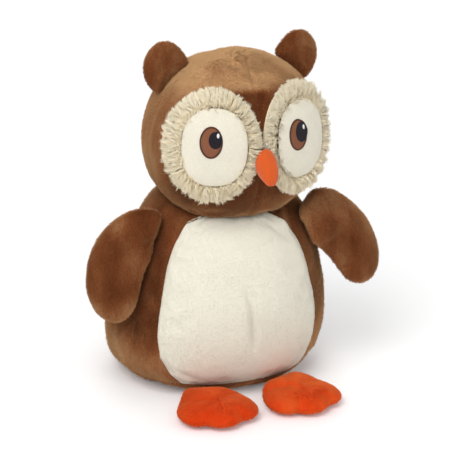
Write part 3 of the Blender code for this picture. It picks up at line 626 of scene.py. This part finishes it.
def head_nap_and_painted_light(points):
    """Paler crown (painted light) and sides (painted sheen), darker between the eyes and at the chin
    (painted shade).
    """
    drift = waves(points, scale=26, seed=5)[:, 0]
    streak = waves(points * np.array([1, 1, 0.35]), scale=80, seed=9)[:, 1]
    crown = above(points[:, 2] + CROWN_WAVE * drift, CROWN_FROM)
    sides = above(np.abs(points[:, 0]), SIDES_FROM)
    chin = below(points[:, 2], CHIN_FROM) * below(points[:, 1], CHIN_FRONT)
    nose = smooth_share(1.4 - np.abs(points[:, 0] - NOSE_MIDDLE) / NOSE_HALF_WIDTH)
    nose *= below(points[:, 2], BROW_FROM) * below(points[:, 1], BROW_FRONT)
    # crown: painted light; sides: painted sheen; chin and nose: painted shade; drift and streak: patches in
    # the nap.
    painted_light_and_nap = 0.85 * crown + 0.20 * sides - 0.38 * chin + 0.20 * drift + 0.18 * streak
    return painted_light_and_nap * (1 - nose) - 0.28 * nose


HEAD_PANELS = (
    "head_front_left_panel", "head_back_left_panel", "head_back_right_panel", "head_front_right_panel")
head = joined_skin("head", HEAD_PANELS, outside_of(("head_filling",)))
stuffed(head, inset=0.0020, tuck=0.0002, tuck_width=0.004, swell=0.0028, slack=0.02, shape=folded_brow)
for number, cad_panel in enumerate(HEAD_PANELS):
    name = cad_panel.replace("_panel", "")
    panel = with_pile(
        cut_panel(head, number, name), count=27000, length=0.0030, width=0.00031, seed=11 + number,
        nap_and_painted_light=head_nap_and_painted_light)
    replaced = (cad_panel, "head_filling") if number == 0 else (cad_panel,)
    finish_piece(panel, brown_plush, "head", "brown", *replaced)
head_tree = BVHTree.FromObject(head, bpy.context.evaluated_depsgraph_get())

# The eyes: a ring of shaggy cream plush, sewn round a smooth ivory disc on which iris, pupil and highlight
# are embroidered in satin stitch.


def flocked(name, colour, rough, scale, strength, sheen):
    """Close, smooth cloth: felt, or thread seen from afar."""
    material, tree, shader = new_material(name)
    where = tree.nodes.new("ShaderNodeTexCoord").outputs["Object"]
    fleck = noise_node(tree, where, scale, detail=4)
    cloud = noise_node(tree, where, scale=60, detail=3)
    level = computed(tree, "MULTIPLY_ADD", cloud, 0.4, computed(tree, "MULTIPLY", fleck, 0.6))
    ramp = tree.nodes.new("ShaderNodeValToRGB")
    ramp.color_ramp.elements[0].position = 0.3
    ramp.color_ramp.elements[0].color = (*(part * 0.88 for part in colour), 1)
    ramp.color_ramp.elements[1].position = 0.68
    ramp.color_ramp.elements[1].color = (*(min(1, part * 1.06) for part in colour), 1)
    tree.links.new(level, ramp.inputs["Fac"])
    tree.links.new(ramp.outputs["Color"], shader.inputs["Base Color"])
    add_bump(tree, shader, fleck, strength, distance=0.0003)
    set_inputs(shader, {"Roughness": rough, "Specular IOR Level": 0.15, "Sheen Weight": sheen})
    return material


shaggy_plush = plush(
    "shaggy cream plush", root=(0.60, 0.46, 0.27), middle=(0.90, 0.78, 0.55), tip=(0.97, 0.90, 0.72),
    patches=0.2, sheen_colour=(0.95, 0.90, 0.78), painted_sheen_share=0.3, sheen=0.1)
ivory_felt = flocked("ivory felt", (0.755, 0.71, 0.59), rough=0.9, scale=900, strength=0.25, sheen=0.3)


def thread_cloth(name, colour, rough=0.5):
    return flocked(name, colour, rough, scale=1500, strength=0.2, sheen=0.1)


iris_thread = thread_cloth("brown thread", (0.25, 0.095, 0.045))
edging_thread = thread_cloth("dark brown thread", (0.085, 0.03, 0.018))
pupil_thread = thread_cloth("dark thread", (0.014, 0.011, 0.016), rough=0.42)
white_thread = thread_cloth("white thread", (0.86, 0.86, 0.84))


def smooth_copy(name, node, levels):
    """A CAD node's shape with its edges rounded."""
    mesh = bpy.data.meshes.new(name)
    work = bmesh.new()
    work.from_mesh(nodes[node].data)
    bmesh.ops.remove_doubles(work, verts=work.verts, dist=WELD)
    bmesh.ops.join_triangles(
        work, faces=work.faces, angle_face_threshold=radians(40), angle_shape_threshold=radians(60))
    bmesh.ops.recalc_face_normals(work, faces=work.faces)
    work.to_mesh(mesh)
    work.free()
    piece = new_piece(name, mesh)
    subdivide(piece, levels)
    piece.data.shade_smooth()
    return piece


class Patch:
    """The plane of an oval patch: its middle, its directions and its half width and height."""

    def __init__(self, node):
        points = positions(nodes[node].data)
        self.middle = (points.max(0) + points.min(0)) / 2
        _, _, axes = np.linalg.svd(points - points.mean(0), full_matrices=False)
        self.normal = axes[2] if axes[2][1] < 0 else -axes[2]
        self.across = np.cross([0.0, 0.0, 1.0], self.normal)
        self.across /= np.linalg.norm(self.across)
        self.up = np.cross(self.normal, self.across)
        flat = (points - self.middle) @ np.array([self.across, self.up]).T
        self.middle = self.middle + ((flat.max(0) + flat.min(0)) / 2) @ np.array([self.across, self.up])
        self.half = (flat.max(0) - flat.min(0)) / 2

    def flat(self, points):
        """Shares of the half width and height, from the middle, and the distance over the plane."""
        offset = points - self.middle
        return offset @ self.across / self.half[0], offset @ self.up / self.half[1], offset @ self.normal

    def point(self, across, up):
        return (self.middle + np.multiply.outer(across * self.half[0], self.across)
                + np.multiply.outer(up * self.half[1], self.up))


STRAND_CURVE_SHARES = ((0.0, -0.04), (0.42, 0.72), (0.78, 0.98), (1.0, 0.80))  # of its length, out and up
STRAND_SIZE_SHARES = (1.0, 0.85, 0.55)


def curved_strands(roots, normals, outward, rise, length, width):
    """Three-sided strands of two sections and a tip, which rise and then fall outward."""
    count = len(roots)
    middle = [roots + outward * (length * out)[:, None] + normals * (length * up * rise)[:, None]
              for out, up in STRAND_CURVE_SHARES]
    side = unit(np.cross(outward, normals))
    points = np.empty((count, 10, 3))
    for level, size in enumerate(STRAND_SIZE_SHARES):
        along = unit(middle[level + 1] - middle[level])
        other = np.cross(along, side)
        for corner in range(3):
            angle = 2 * pi * corner / 3
            points[:, 3 * level + corner] = (
                middle[level] + width * size * (side * cos(angle) + other * sin(angle)))
    points[:, 9] = middle[3]
    faces = [(2, 1, 0)]
    for level in range(2):
        for corner in range(3):
            low, low_next = 3 * level + corner, 3 * level + (corner + 1) % 3
            faces += [(low, low_next, low_next + 3), (low, low_next + 3, low + 3)]
    faces += [(6, 7, 9), (7, 8, 9), (8, 6, 9)]
    faces = (np.array(faces)[None] + 10 * np.arange(count)[:, None, None]).reshape(-1, 3)
    return points.reshape(-1, 3), faces


RING_STRANDS = 10000
RING_STRAND_LENGTH = 0.0078
RING_STRAND_WIDTH = 0.00022
RING_TUFTS = 1000
RING_CLOTH_SHARE = 0.45  # of the CAD ring's thickness, which is cloth and pile together
RING_SOFT = 0.42  # how far the strands are lit as the cloth under them is
RING_REACH = 1.01  # the strands end here, where 1 is the ring's outer edge
RING_REACH_AT_BEAK = 0.95
RING_LAST_ROOT = 0.93  # no strand is rooted farther out
RING_LEAST_LENGTH = 0.0026
RING_INNER_BAND = 0.07
INWARD_CHANCE = 0.6
RING_LENGTHS_OVER_DISC = {"left": 0.0036, "right": 0.0024}
TUFT_TURN = 0.32
TUFT_GATHER = 0.8
STRAND_TURN = 0.10
INWARD_TURN = 0.35
INWARD_RISE = 0.9
# Each pair is the least share and how much more there may be.
TUFT_LENGTHS = (0.66, 0.62)
TUFT_RISES = (0.5, 0.9)
STRAND_LENGTHS = (0.80, 0.3)
STRAND_RISES = (0.32, 0.22)
INWARD_LENGTHS = (0.7, 0.5)
STRAND_TIPS = [0.1] * 3 + [0.5] * 3 + [0.9] * 3 + [1.3]  # how pale each point of a strand is
RING_CLOTH_TIP = 0.2
RING_CLOTH_STRAND = 0.3
RING_CLOTH_NAP = -0.3
RING_NAP = 0.26
TUFT_NAP = 0.30
TUFT_NAP_MIDDLE = 0.42
RING_LOW_PAINTED_SHADE = 0.30  # by which the lower part of the ring is darker: painted shade


def uneven(chance, count, least, more):
    return least + more * chance.random(count)


def nearest_tuft(flat, tufts):
    found = np.empty(len(flat), int)
    for start in range(0, len(flat), BLOCK):
        block = flat[start:start + BLOCK]
        found[start:start + BLOCK] = ((block[:, None] - tufts[None]) ** 2).sum(2).argmin(1)
    return found


def shaggy_ring(side, number):
    """A ring of cloth whose strands lie outward in tufts. The innermost ones fall over the disc's edge."""
    chance = np.random.default_rng(31 + number)
    patch = Patch(side + "_eye_ring")
    ring = smooth_copy(side + "_ring", side + "_eye_ring", 1)
    cloth = positions(ring.data)
    hits = [head_tree.find_nearest(Vector(point)) for point in cloth]
    under = np.array([tuple(hit[0]) for hit in hits])
    cloth = under + (cloth - under) * RING_CLOTH_SHARE
    place(ring.data, cloth)
    normals = vertex_normals(ring.data)
    roots, root_normals = scattered(ring.data, normals, RING_STRANDS * 3, chance)
    across, up, _ = patch.flat(roots)
    keep = np.flatnonzero((root_normals @ patch.normal > 0.3) & (np.hypot(across, up) < RING_LAST_ROOT))
    keep = keep[:RING_STRANDS // 1]
    roots, root_normals = roots[keep], root_normals[keep]
    across, up, _ = patch.flat(roots)
    share = np.hypot(across, up)
    flat = np.stack([across * patch.half[0], up * patch.half[1]], 1)
    tufts = flat[chance.choice(len(flat), min(RING_TUFTS, len(flat)), replace=False)]
    tuft = nearest_tuft(flat, tufts)
    turn = chance.normal(0, TUFT_TURN, len(tufts))[tuft]
    tuft_length = uneven(chance, len(tufts), *TUFT_LENGTHS)[tuft]
    tuft_rise = uneven(chance, len(tufts), *TUFT_RISES)[tuft]
    spoke = flat / np.maximum(np.linalg.norm(flat, axis=1), 1e-9)[:, None]
    turned = np.stack([spoke[:, 0] * np.cos(turn) - spoke[:, 1] * np.sin(turn),
                       spoke[:, 0] * np.sin(turn) + spoke[:, 1] * np.cos(turn)], 1)
    gather = (tufts[tuft] - flat) / RING_STRAND_LENGTH * TUFT_GATHER
    aim = turned + gather + chance.normal(0, STRAND_TURN, flat.shape)
    to_beak = -across if side == "left" else across
    reach = RING_REACH - (RING_REACH - RING_REACH_AT_BEAK) * smooth_share(to_beak * 1.6 - 0.35)
    lengths = np.clip((reach - share) * patch.half.mean(), RING_LEAST_LENGTH, RING_STRAND_LENGTH)
    lengths *= tuft_length * uneven(chance, len(roots), *STRAND_LENGTHS)
    rise = uneven(chance, len(roots), *STRAND_RISES) * tuft_rise
    inner = share < share.min() + RING_INNER_BAND
    inward = inner & (chance.random(len(roots)) < INWARD_CHANCE)
    aim[inward] = -spoke[inward] + chance.normal(0, INWARD_TURN, (inward.sum(), 2))
    lengths[inner] *= 0.8
    away = smooth_share(0.75 - to_beak[inward])
    inward_length = uneven(chance, inward.sum(), *INWARD_LENGTHS)
    lengths[inward] = RING_LENGTHS_OVER_DISC[side] * (0.55 + 0.45 * away) * inward_length
    rise[inward] = INWARD_RISE
    outward = aim[:, :1] * patch.across + aim[:, 1:] * patch.up
    outward = unit(outward - root_normals * (outward * root_normals).sum(1)[:, None])
    points, faces = curved_strands(roots, root_normals, outward, rise, lengths, RING_STRAND_WIDTH)
    cloth_faces = corners_of(ring.data)
    mesh = mesh_from(ring.name, np.vstack([cloth, points]), np.vstack([cloth_faces, faces + len(cloth)]))
    softened(mesh, np.vstack([normals, np.repeat(root_normals, 10, 0)]), RING_SOFT)
    tips = np.tile(STRAND_TIPS, len(roots))
    shade = np.repeat(chance.random(len(tufts))[tuft], 10)
    set_values(mesh, "tip", np.concatenate([np.full(len(cloth), RING_CLOTH_TIP), tips]))
    set_values(mesh, "strand", np.concatenate([np.full(len(cloth), RING_CLOTH_STRAND), shade]))
    _, height, _ = patch.flat(positions(mesh))
    tuft_nap = np.concatenate([np.full(len(cloth), RING_CLOTH_NAP), TUFT_NAP * (shade - TUFT_NAP_MIDDLE)])
    # The lower part of the ring gets painted shade.
    set_values(mesh, "nap_and_painted_light", RING_NAP + tuft_nap - RING_LOW_PAINTED_SHADE * smooth_share(-0.2 - height))
    ring.data = mesh
    return ring


DISC_CORNERS = 2.35  # the power of the disc's rounded outline, 2 for an oval


def squared(piece, patch):
    """Pushes an oval patch out toward its corners."""
    points = positions(piece.data)
    across, up, _ = patch.flat(points)
    radius = np.maximum(np.hypot(across, up), 1e-9)
    total = np.abs(across / radius) ** DISC_CORNERS + np.abs(up / radius) ** DISC_CORNERS
    grown = smooth_share(radius / 0.9) * (total ** (-1 / DISC_CORNERS) - 1)
    offset = patch.point(across, up) - patch.middle
    place(piece.data, points + offset * grown[:, None])


THREAD = 0.00025  # radius
THREAD_SIDES = 5
THREAD_PITCH = 0.00040
THREAD_END_POWER = 6  # the higher, the more suddenly a thread dips in at its ends
ROW_POINTS = 9
EDGE_ROW_POINTS = 5
LAST_ROW = 0.97


def threads(rows, ground, lift, name):
    """Satin stitches: each row of points becomes one closed thread on the ground, its ends sewn in."""
    points, faces = [], []
    for row in rows:
        hits = [ground.find_nearest(Vector(point)) for point in row]
        centres = np.array([tuple(hit[0]) for hit in hits])
        normals = np.array([tuple(hit[1]) for hit in hits])
        part = np.linspace(-1, 1, len(row))
        height = lift * (1 - part ** THREAD_END_POWER) - THREAD * part ** THREAD_END_POWER
        centres = centres + normals * height[:, None]
        along = unit(np.gradient(centres, axis=0))
        side = unit(np.cross(along, normals))
        up = np.cross(side, along)
        first = len(points)
        for index in range(len(row)):
            for corner in range(THREAD_SIDES):
                angle = 2 * pi * corner / THREAD_SIDES
                points.append(centres[index] + THREAD * (side[index] * cos(angle) + up[index] * sin(angle)))
        for index in range(len(row) - 1):
            for corner in range(THREAD_SIDES):
                a = first + THREAD_SIDES * index + corner
                b = first + THREAD_SIDES * index + (corner + 1) % THREAD_SIDES
                faces += [(a, b, b + THREAD_SIDES), (a, b + THREAD_SIDES, a + THREAD_SIDES)]
        last = first + THREAD_SIDES * (len(row) - 1)
        for corner in range(1, THREAD_SIDES - 1):
            faces += [(first, first + corner + 1, first + corner), (last, last + corner, last + corner + 1)]
    mesh = mesh_from(name, np.array(points), np.array(faces))
    piece = new_piece(name, mesh)
    work = bmesh.new()
    work.from_mesh(mesh)
    bmesh.ops.recalc_face_normals(work, faces=work.faces)
    work.to_mesh(mesh)
    work.free()
    mesh.shade_smooth()
    return piece


def oval_rows(patch, upright, grow):
    """Rows of points straight across an oval, side by side."""
    long_half = patch.half[0 if upright else 1] * grow
    count = int(2 * long_half / THREAD_PITCH)
    rows = []
    for place_share in np.linspace(-LAST_ROW, LAST_ROW, count):
        reach = np.sqrt(1 - place_share ** 2) * np.linspace(-1, 1, ROW_POINTS) * grow
        fixed = np.full(ROW_POINTS, place_share * grow)
        rows.append(patch.point(fixed, reach) if upright else patch.point(reach, fixed))
    return rows


def edge_rows(patch, inner, outer):
    """Short rows of points across an oval's edge, all the way round."""
    count = int(pi * (patch.half[0] + patch.half[1]) / THREAD_PITCH)
    rows = []
    for angle in np.linspace(0, 2 * pi, count, endpoint=False):
        reach = np.linspace(inner, outer, EDGE_ROW_POINTS)
        rows.append(patch.point(cos(angle) * reach, sin(angle) * reach))
    return rows


# Sizes of the embroidered forms as shares of those in the CAD.
IRIS_SHARE = 0.93
EDGING_SHARES = (0.88, 1.0)
PUPIL_SHARES = {"left": 1.12, "right": 0.94}
HIGHLIGHT_SHARE = 0.6

for number, side in enumerate(("left", "right")):
    ring = shaggy_ring(side, number)
    finish_piece(ring, shaggy_plush, "head", "shaggy", side + "_eye_ring")
    disc = smooth_copy(side + "_disc", side + "_eye_disc", 2)
    squared(disc, Patch(side + "_eye_disc"))
    finish_piece(disc, ivory_felt, "head", "ivory", side + "_eye_disc", fill=0.4)
    ground = BVHTree.FromObject(disc, bpy.context.evaluated_depsgraph_get())
    iris_patch, pupil_patch = Patch(side + "_iris"), Patch(side + "_pupil")
    highlight_patch = Patch(side + "_eye_highlight")
    iris_rows = oval_rows(iris_patch, upright=False, grow=IRIS_SHARE)
    pupil_rows = oval_rows(pupil_patch, upright=True, grow=PUPIL_SHARES[side])
    highlight_rows = oval_rows(highlight_patch, upright=False, grow=HIGHLIGHT_SHARE)
    iris = threads(iris_rows, ground, lift=0.0002, name=side + "_iris_fill")
    edging = threads(edge_rows(iris_patch, *EDGING_SHARES), ground, lift=0.0004, name=side + "_iris_edging")
    pupil = threads(pupil_rows, ground, lift=0.0007, name=side + "_pupil_fill")
    highlight = threads(highlight_rows, ground, lift=0.0011, name=side + "_highlight_fill")
    finish_piece(iris, iris_thread, "head", "iris", side + "_iris", fill=0.2)
    finish_piece(pupil, pupil_thread, "head", "pupil", side + "_pupil", fill=0.2)
    finish_piece(highlight, white_thread, "head", "white", side + "_eye_highlight", fill=0.2)
    edging.data.materials.append(edging_thread)
    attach(edging, "head")

# The beak: two halves of orange felt, sewn together along the middle, filled with fibre and sewn to the head
# between the eyes.

orange_felt = flocked("orange felt", (0.64, 0.098, 0.014), rough=0.85, scale=800, strength=0.4, sheen=0.2)
beak = joined_skin("beak", ("beak_right_half", "beak_left_half"), outside_of(("beak_filling",)))
stuffed(beak, inset=0.0002, tuck=0.0003, tuck_width=0.003, swell=0.0012, slack=0.01)
for number, side in enumerate(("right", "left")):
    half = cut_panel(beak, number, side + "_beak_half")
    apply_modifier(half, "SOLIDIFY", thickness=CLOTH_THICKNESS, offset=-1)
    replaced = ("beak_right_half", "beak_filling") if number == 0 else ("beak_left_half",)
    finish_piece(half, orange_felt, "head", "orange", *replaced)
bpy.data.objects.remove(beak)

# The ears: two brown plush panels each, sewn together and turned, without filling. They are held in the
# head's side seams.

EAR_FACING = 0.2  # cosine of the angle within which a face is on the front or the back
EAR_BLEND = (-0.001, 0.009)  # from the hinge outward


def rooted(form, tree, reach, depth, pivot, axis, spread):
    """Draws the part of a form that lies along its hinge into the piece that it is sewn to."""
    points = positions(form.data)
    hits = [tree.find_nearest(Vector(point)) for point in points]
    distance = np.array([hit[3] for hit in hits])
    inward = np.array([-hit[1] for hit in hits])
    offset = points - pivot
    from_axis = np.linalg.norm(offset - np.outer(offset @ axis, axis), axis=1)
    share = smooth_share(1 - distance / reach) * smooth_share(2 - from_axis / spread)
    place(form.data, points + inward * (depth * share)[:, None])


def hinge_of(joint, carried):
    """A joint's point and axis, and the way out from it to the middle of what it carries."""
    pivot, axis = np.array(joints[joint]["pos_m"]), np.array(joints[joint]["axis"])
    offset = positions(nodes[carried].data).mean(0) - pivot
    offset -= axis * (offset @ axis)
    return pivot, axis, offset / np.linalg.norm(offset)


def blend_ends(pivot, outward, ways):
    return [tuple(pivot + outward * way) for way in ways]


def facing_out(normal):
    return lambda face: face.normal.dot(normal) > EAR_FACING


def ear_skin(side):
    """The front of one panel and the back of the other, joined round the edge."""
    front = joined_skin(side + "_ear", (side + "_ear_front_panel",), facing_out(Vector((0, -1, 0))))
    back = joined_skin("back", (side + "_ear_back_panel",), facing_out(Vector((0, 1, 0))))
    work = bmesh.new()
    work.from_mesh(front.data)
    first = len(work.faces)
    work.from_mesh(back.data)
    work.faces.ensure_lookup_table()
    for face in work.faces[first:]:
        face.material_index = 1
    bmesh.ops.remove_doubles(work, verts=work.verts, dist=SEAM_WELD)
    bmesh.ops.recalc_face_normals(work, faces=work.faces)
    work.to_mesh(front.data)
    work.free()
    bpy.data.objects.remove(back)
    return front


def ear_nap(points):
    return -0.04 + 0.22 * waves(points, scale=50, seed=3)[:, 0]


for number, side in enumerate(("left", "right")):
    pivot, axis, outward = hinge_of(side + "_ear_fold", side + "_ear_front_panel")
    ear = ear_skin(side)
    stuffed(ear, inset=0.0005, tuck=0.0003, tuck_width=0.004, swell=0.0014, slack=0.02)
    rooted(ear, head_tree, reach=0.007, depth=0.0055, pivot=pivot, axis=axis, spread=0.012)
    ear_blend = ("head", side + "_ear", *blend_ends(pivot, outward, EAR_BLEND))
    for face, part in enumerate(("_ear_front", "_ear_back")):
        panel = with_pile(
            cut_panel(ear, face, side + part), count=6000, length=0.0028, width=0.00028,
            seed=41 + 2 * number + face, nap_and_painted_light=ear_nap)
        finish_piece(panel, brown_plush, ear_blend, "brown", side + part + "_panel", fill=0.3)
    bpy.data.objects.remove(ear)

# The wings: a front and a back panel of brown plush each, filled with fibre and sewn to the shoulder. Their
# pile is paler at both ends.

WING_BLEND = (-0.006, 0.010)
WING_END_FROM = (0.092, 0.020)
SHOULDER_FROM = (0.130, 0.015)


def wing_nap(points):
    drift = waves(points, scale=24, seed=21)[:, 0]
    streak = waves(points * np.array([1, 1, 0.4]), scale=70, seed=4)[:, 1]
    low = below(points[:, 2], WING_END_FROM)
    high = above(points[:, 2], SHOULDER_FROM)
    return 0.42 * low + 0.10 * high + 0.20 * drift + 0.22 * streak


for number, side in enumerate(("left", "right")):
    pivot, axis, outward = hinge_of(side + "_wing_swing", side + "_wing_filling")
    names = (side + "_wing_front_panel", side + "_wing_back_panel")
    wing = joined_skin(side + "_wing", names, outside_of((side + "_wing_filling",)))
    stuffed(wing, inset=0.0012, tuck=0.0005, tuck_width=0.006, swell=0.0026, slack=0.02)
    rooted(wing, body_tree, reach=0.006, depth=0.0045, pivot=pivot, axis=axis, spread=0.010)
    wing_blend = ("torso", side + "_wing", *blend_ends(pivot, outward, WING_BLEND))
    for face, part in enumerate(("_wing_front", "_wing_back")):
        panel = with_pile(
            cut_panel(wing, face, side + part), count=15500, length=0.0030, width=0.00031,
            seed=51 + 2 * number + face, nap_and_painted_light=wing_nap)
        replaced = (names[0], side + "_wing_filling") if face == 0 else (names[1],)
        finish_piece(panel, brown_plush, wing_blend, "brown", *replaced)
    bpy.data.objects.remove(wing)

# The feet: a top and a sole panel of short orange plush each, cut with three toes, filled with fibre and
# sewn into the front of the base seam.

FOOT_BLEND = (0.001, 0.012)
FOOT_PILE_COUNTS = (9500, 2500)
FOOT_PALE_FROM = (0, 0.03)
orange_plush = plush(
    "orange plush", root=(0.60, 0.042, 0.005), middle=(0.84, 0.066, 0.009), tip=(0.94, 0.19, 0.038),
    patches=0.5, sheen_colour=(0.90, 0.28, 0.09), painted_sheen_share=0.6, sheen=0.2)


def foot_nap(points):
    """The left foot is paler than the right one."""
    return 0.20 * waves(points, scale=55, seed=13)[:, 0] + 0.22 * above(points[:, 0], FOOT_PALE_FROM)


for number, side in enumerate(("left", "right")):
    pivot, axis, outward = hinge_of(side + "_foot_fold", side + "_foot_filling")
    names = (side + "_foot_top_panel", side + "_foot_sole_panel")
    foot = joined_skin(side + "_foot", names, outside_of((side + "_foot_filling",)))
    stuffed(foot, inset=0.0004, tuck=0.0001, tuck_width=0.004, swell=0.0016, slack=0.01)
    rooted(foot, body_tree, reach=0.006, depth=0.004, pivot=pivot, axis=axis, spread=0.008)
    foot_blend = ("torso", side + "_foot", *blend_ends(pivot, outward, FOOT_BLEND))
    for face, part in enumerate(("_foot_top", "_foot_sole")):
        panel = with_pile(
            cut_panel(foot, face, side + part), count=FOOT_PILE_COUNTS[face], length=0.0018, width=0.00028,
            seed=61 + 2 * number + face, lift=0.4, floor=0.001, nap_and_painted_light=foot_nap)
        replaced = (names[0], side + "_foot_filling") if face == 0 else (names[1],)
        finish_piece(panel, orange_plush, foot_blend, "foot", *replaced)
    bpy.data.objects.remove(foot)
bpy.data.objects.remove(body)
bpy.data.objects.remove(head)

# The room: a pale floor, a white background, three soft lamps and the camera, which looks from the owl's
# right and from above.

FLOOR_DEPTH = 0.0006  # below the soles
FLOOR_GLOW = 0.12  # seen by the camera only, so that the floor is as white as the background
LAMP_AIM = Vector((0, -0.02, 0.14))
ROOM_LIGHT = 0.55


def plain_material(name, colour):
    material, tree, shader = new_material(name)
    set_inputs(shader, {
        "Base Color": (*colour, 1), "Roughness": 1, "Specular IOR Level": 0, "Emission Color": (1, 1, 1, 1)})
    path = tree.nodes.new("ShaderNodeLightPath")
    seen = computed(tree, "MAXIMUM", path.outputs["Is Camera Ray"], path.outputs["Is Glossy Ray"])
    tree.links.new(computed(tree, "MULTIPLY", seen, FLOOR_GLOW), shader.inputs["Emission Strength"])
    return material


bpy.ops.object.select_all(action="DESELECT")
bpy.ops.mesh.primitive_plane_add(size=8, location=(0, 0, -FLOOR_DEPTH))
floor = bpy.context.object
floor.name = "floor"
floor.data.transform(Matrix.Translation(floor.location))
floor.location = (0, 0, 0)
floor.data.materials.append(plain_material("pale floor", (0.93, 0.93, 0.93)))


def add_lamp(name, spot, size, power):
    lamp = bpy.data.lights.new(name, "AREA")
    lamp.energy = power
    lamp.size = size
    holder = bpy.data.objects.new(name, lamp)
    holder.location = spot
    holder.rotation_euler = (LAMP_AIM - Vector(spot)).to_track_quat("-Z", "Y").to_euler()
    bpy.context.scene.collection.objects.link(holder)


add_lamp("key lamp", (-0.9, -0.9, 1.5), size=1.1, power=21)
add_lamp("fill lamp", (1.4, -1.3, 0.7), size=1.4, power=4.5)
add_lamp("back lamp", (0.4, 1.4, 1.3), size=1.2, power=9)

world = bpy.data.worlds.new("white room")
bpy.context.scene.world = world
world.use_nodes = True
shader = world.node_tree.nodes["Background"]
set_inputs(shader, {"Color": (1, 1, 1, 1)})
path = world.node_tree.nodes.new("ShaderNodeLightPath")
seen = computed(world.node_tree, "MAXIMUM", path.outputs["Is Camera Ray"], path.outputs["Is Glossy Ray"])
seen = computed(world.node_tree, "MAXIMUM", seen, path.outputs["Is Transmission Ray"])
strength = remapped(world.node_tree, seen, 0, 1, ROOM_LIGHT, 1)
world.node_tree.links.new(strength, shader.inputs["Strength"])

CAMERA_AZIMUTH = radians(-24)
CAMERA_ELEVATION = radians(20)
CAMERA_ROLL = radians(1.5)
CAMERA_DISTANCE = 1.5
CAMERA_TARGET = Vector((0, 0, 0.13))
SENSOR = 36
PICTURE = 450  # pixels a side
PIXEL = 0.000785  # metres at the target
TARGET_PIXEL = (217, 212)
back = Vector((
    sin(CAMERA_AZIMUTH) * cos(CAMERA_ELEVATION), -cos(CAMERA_AZIMUTH) * cos(CAMERA_ELEVATION),
    sin(CAMERA_ELEVATION)))
lens = bpy.data.cameras.new("camera")
lens.sensor_width = SENSOR
lens.lens = SENSOR * CAMERA_DISTANCE / (PICTURE * PIXEL)
lens.shift_x = (PICTURE / 2 - TARGET_PIXEL[0]) / PICTURE
lens.shift_y = (TARGET_PIXEL[1] - PICTURE / 2) / PICTURE
camera = bpy.data.objects.new("camera", lens)
camera.location = CAMERA_TARGET + back * CAMERA_DISTANCE
camera.rotation_mode = "QUATERNION"
roll = Matrix.Rotation(CAMERA_ROLL, 3, "Z").to_quaternion()
camera.rotation_quaternion = (-back).to_track_quat("-Z", "Y") @ roll
bpy.context.scene.collection.objects.link(camera)
bpy.context.scene.camera = camera
bpy.context.scene.view_settings.view_transform = "Standard"
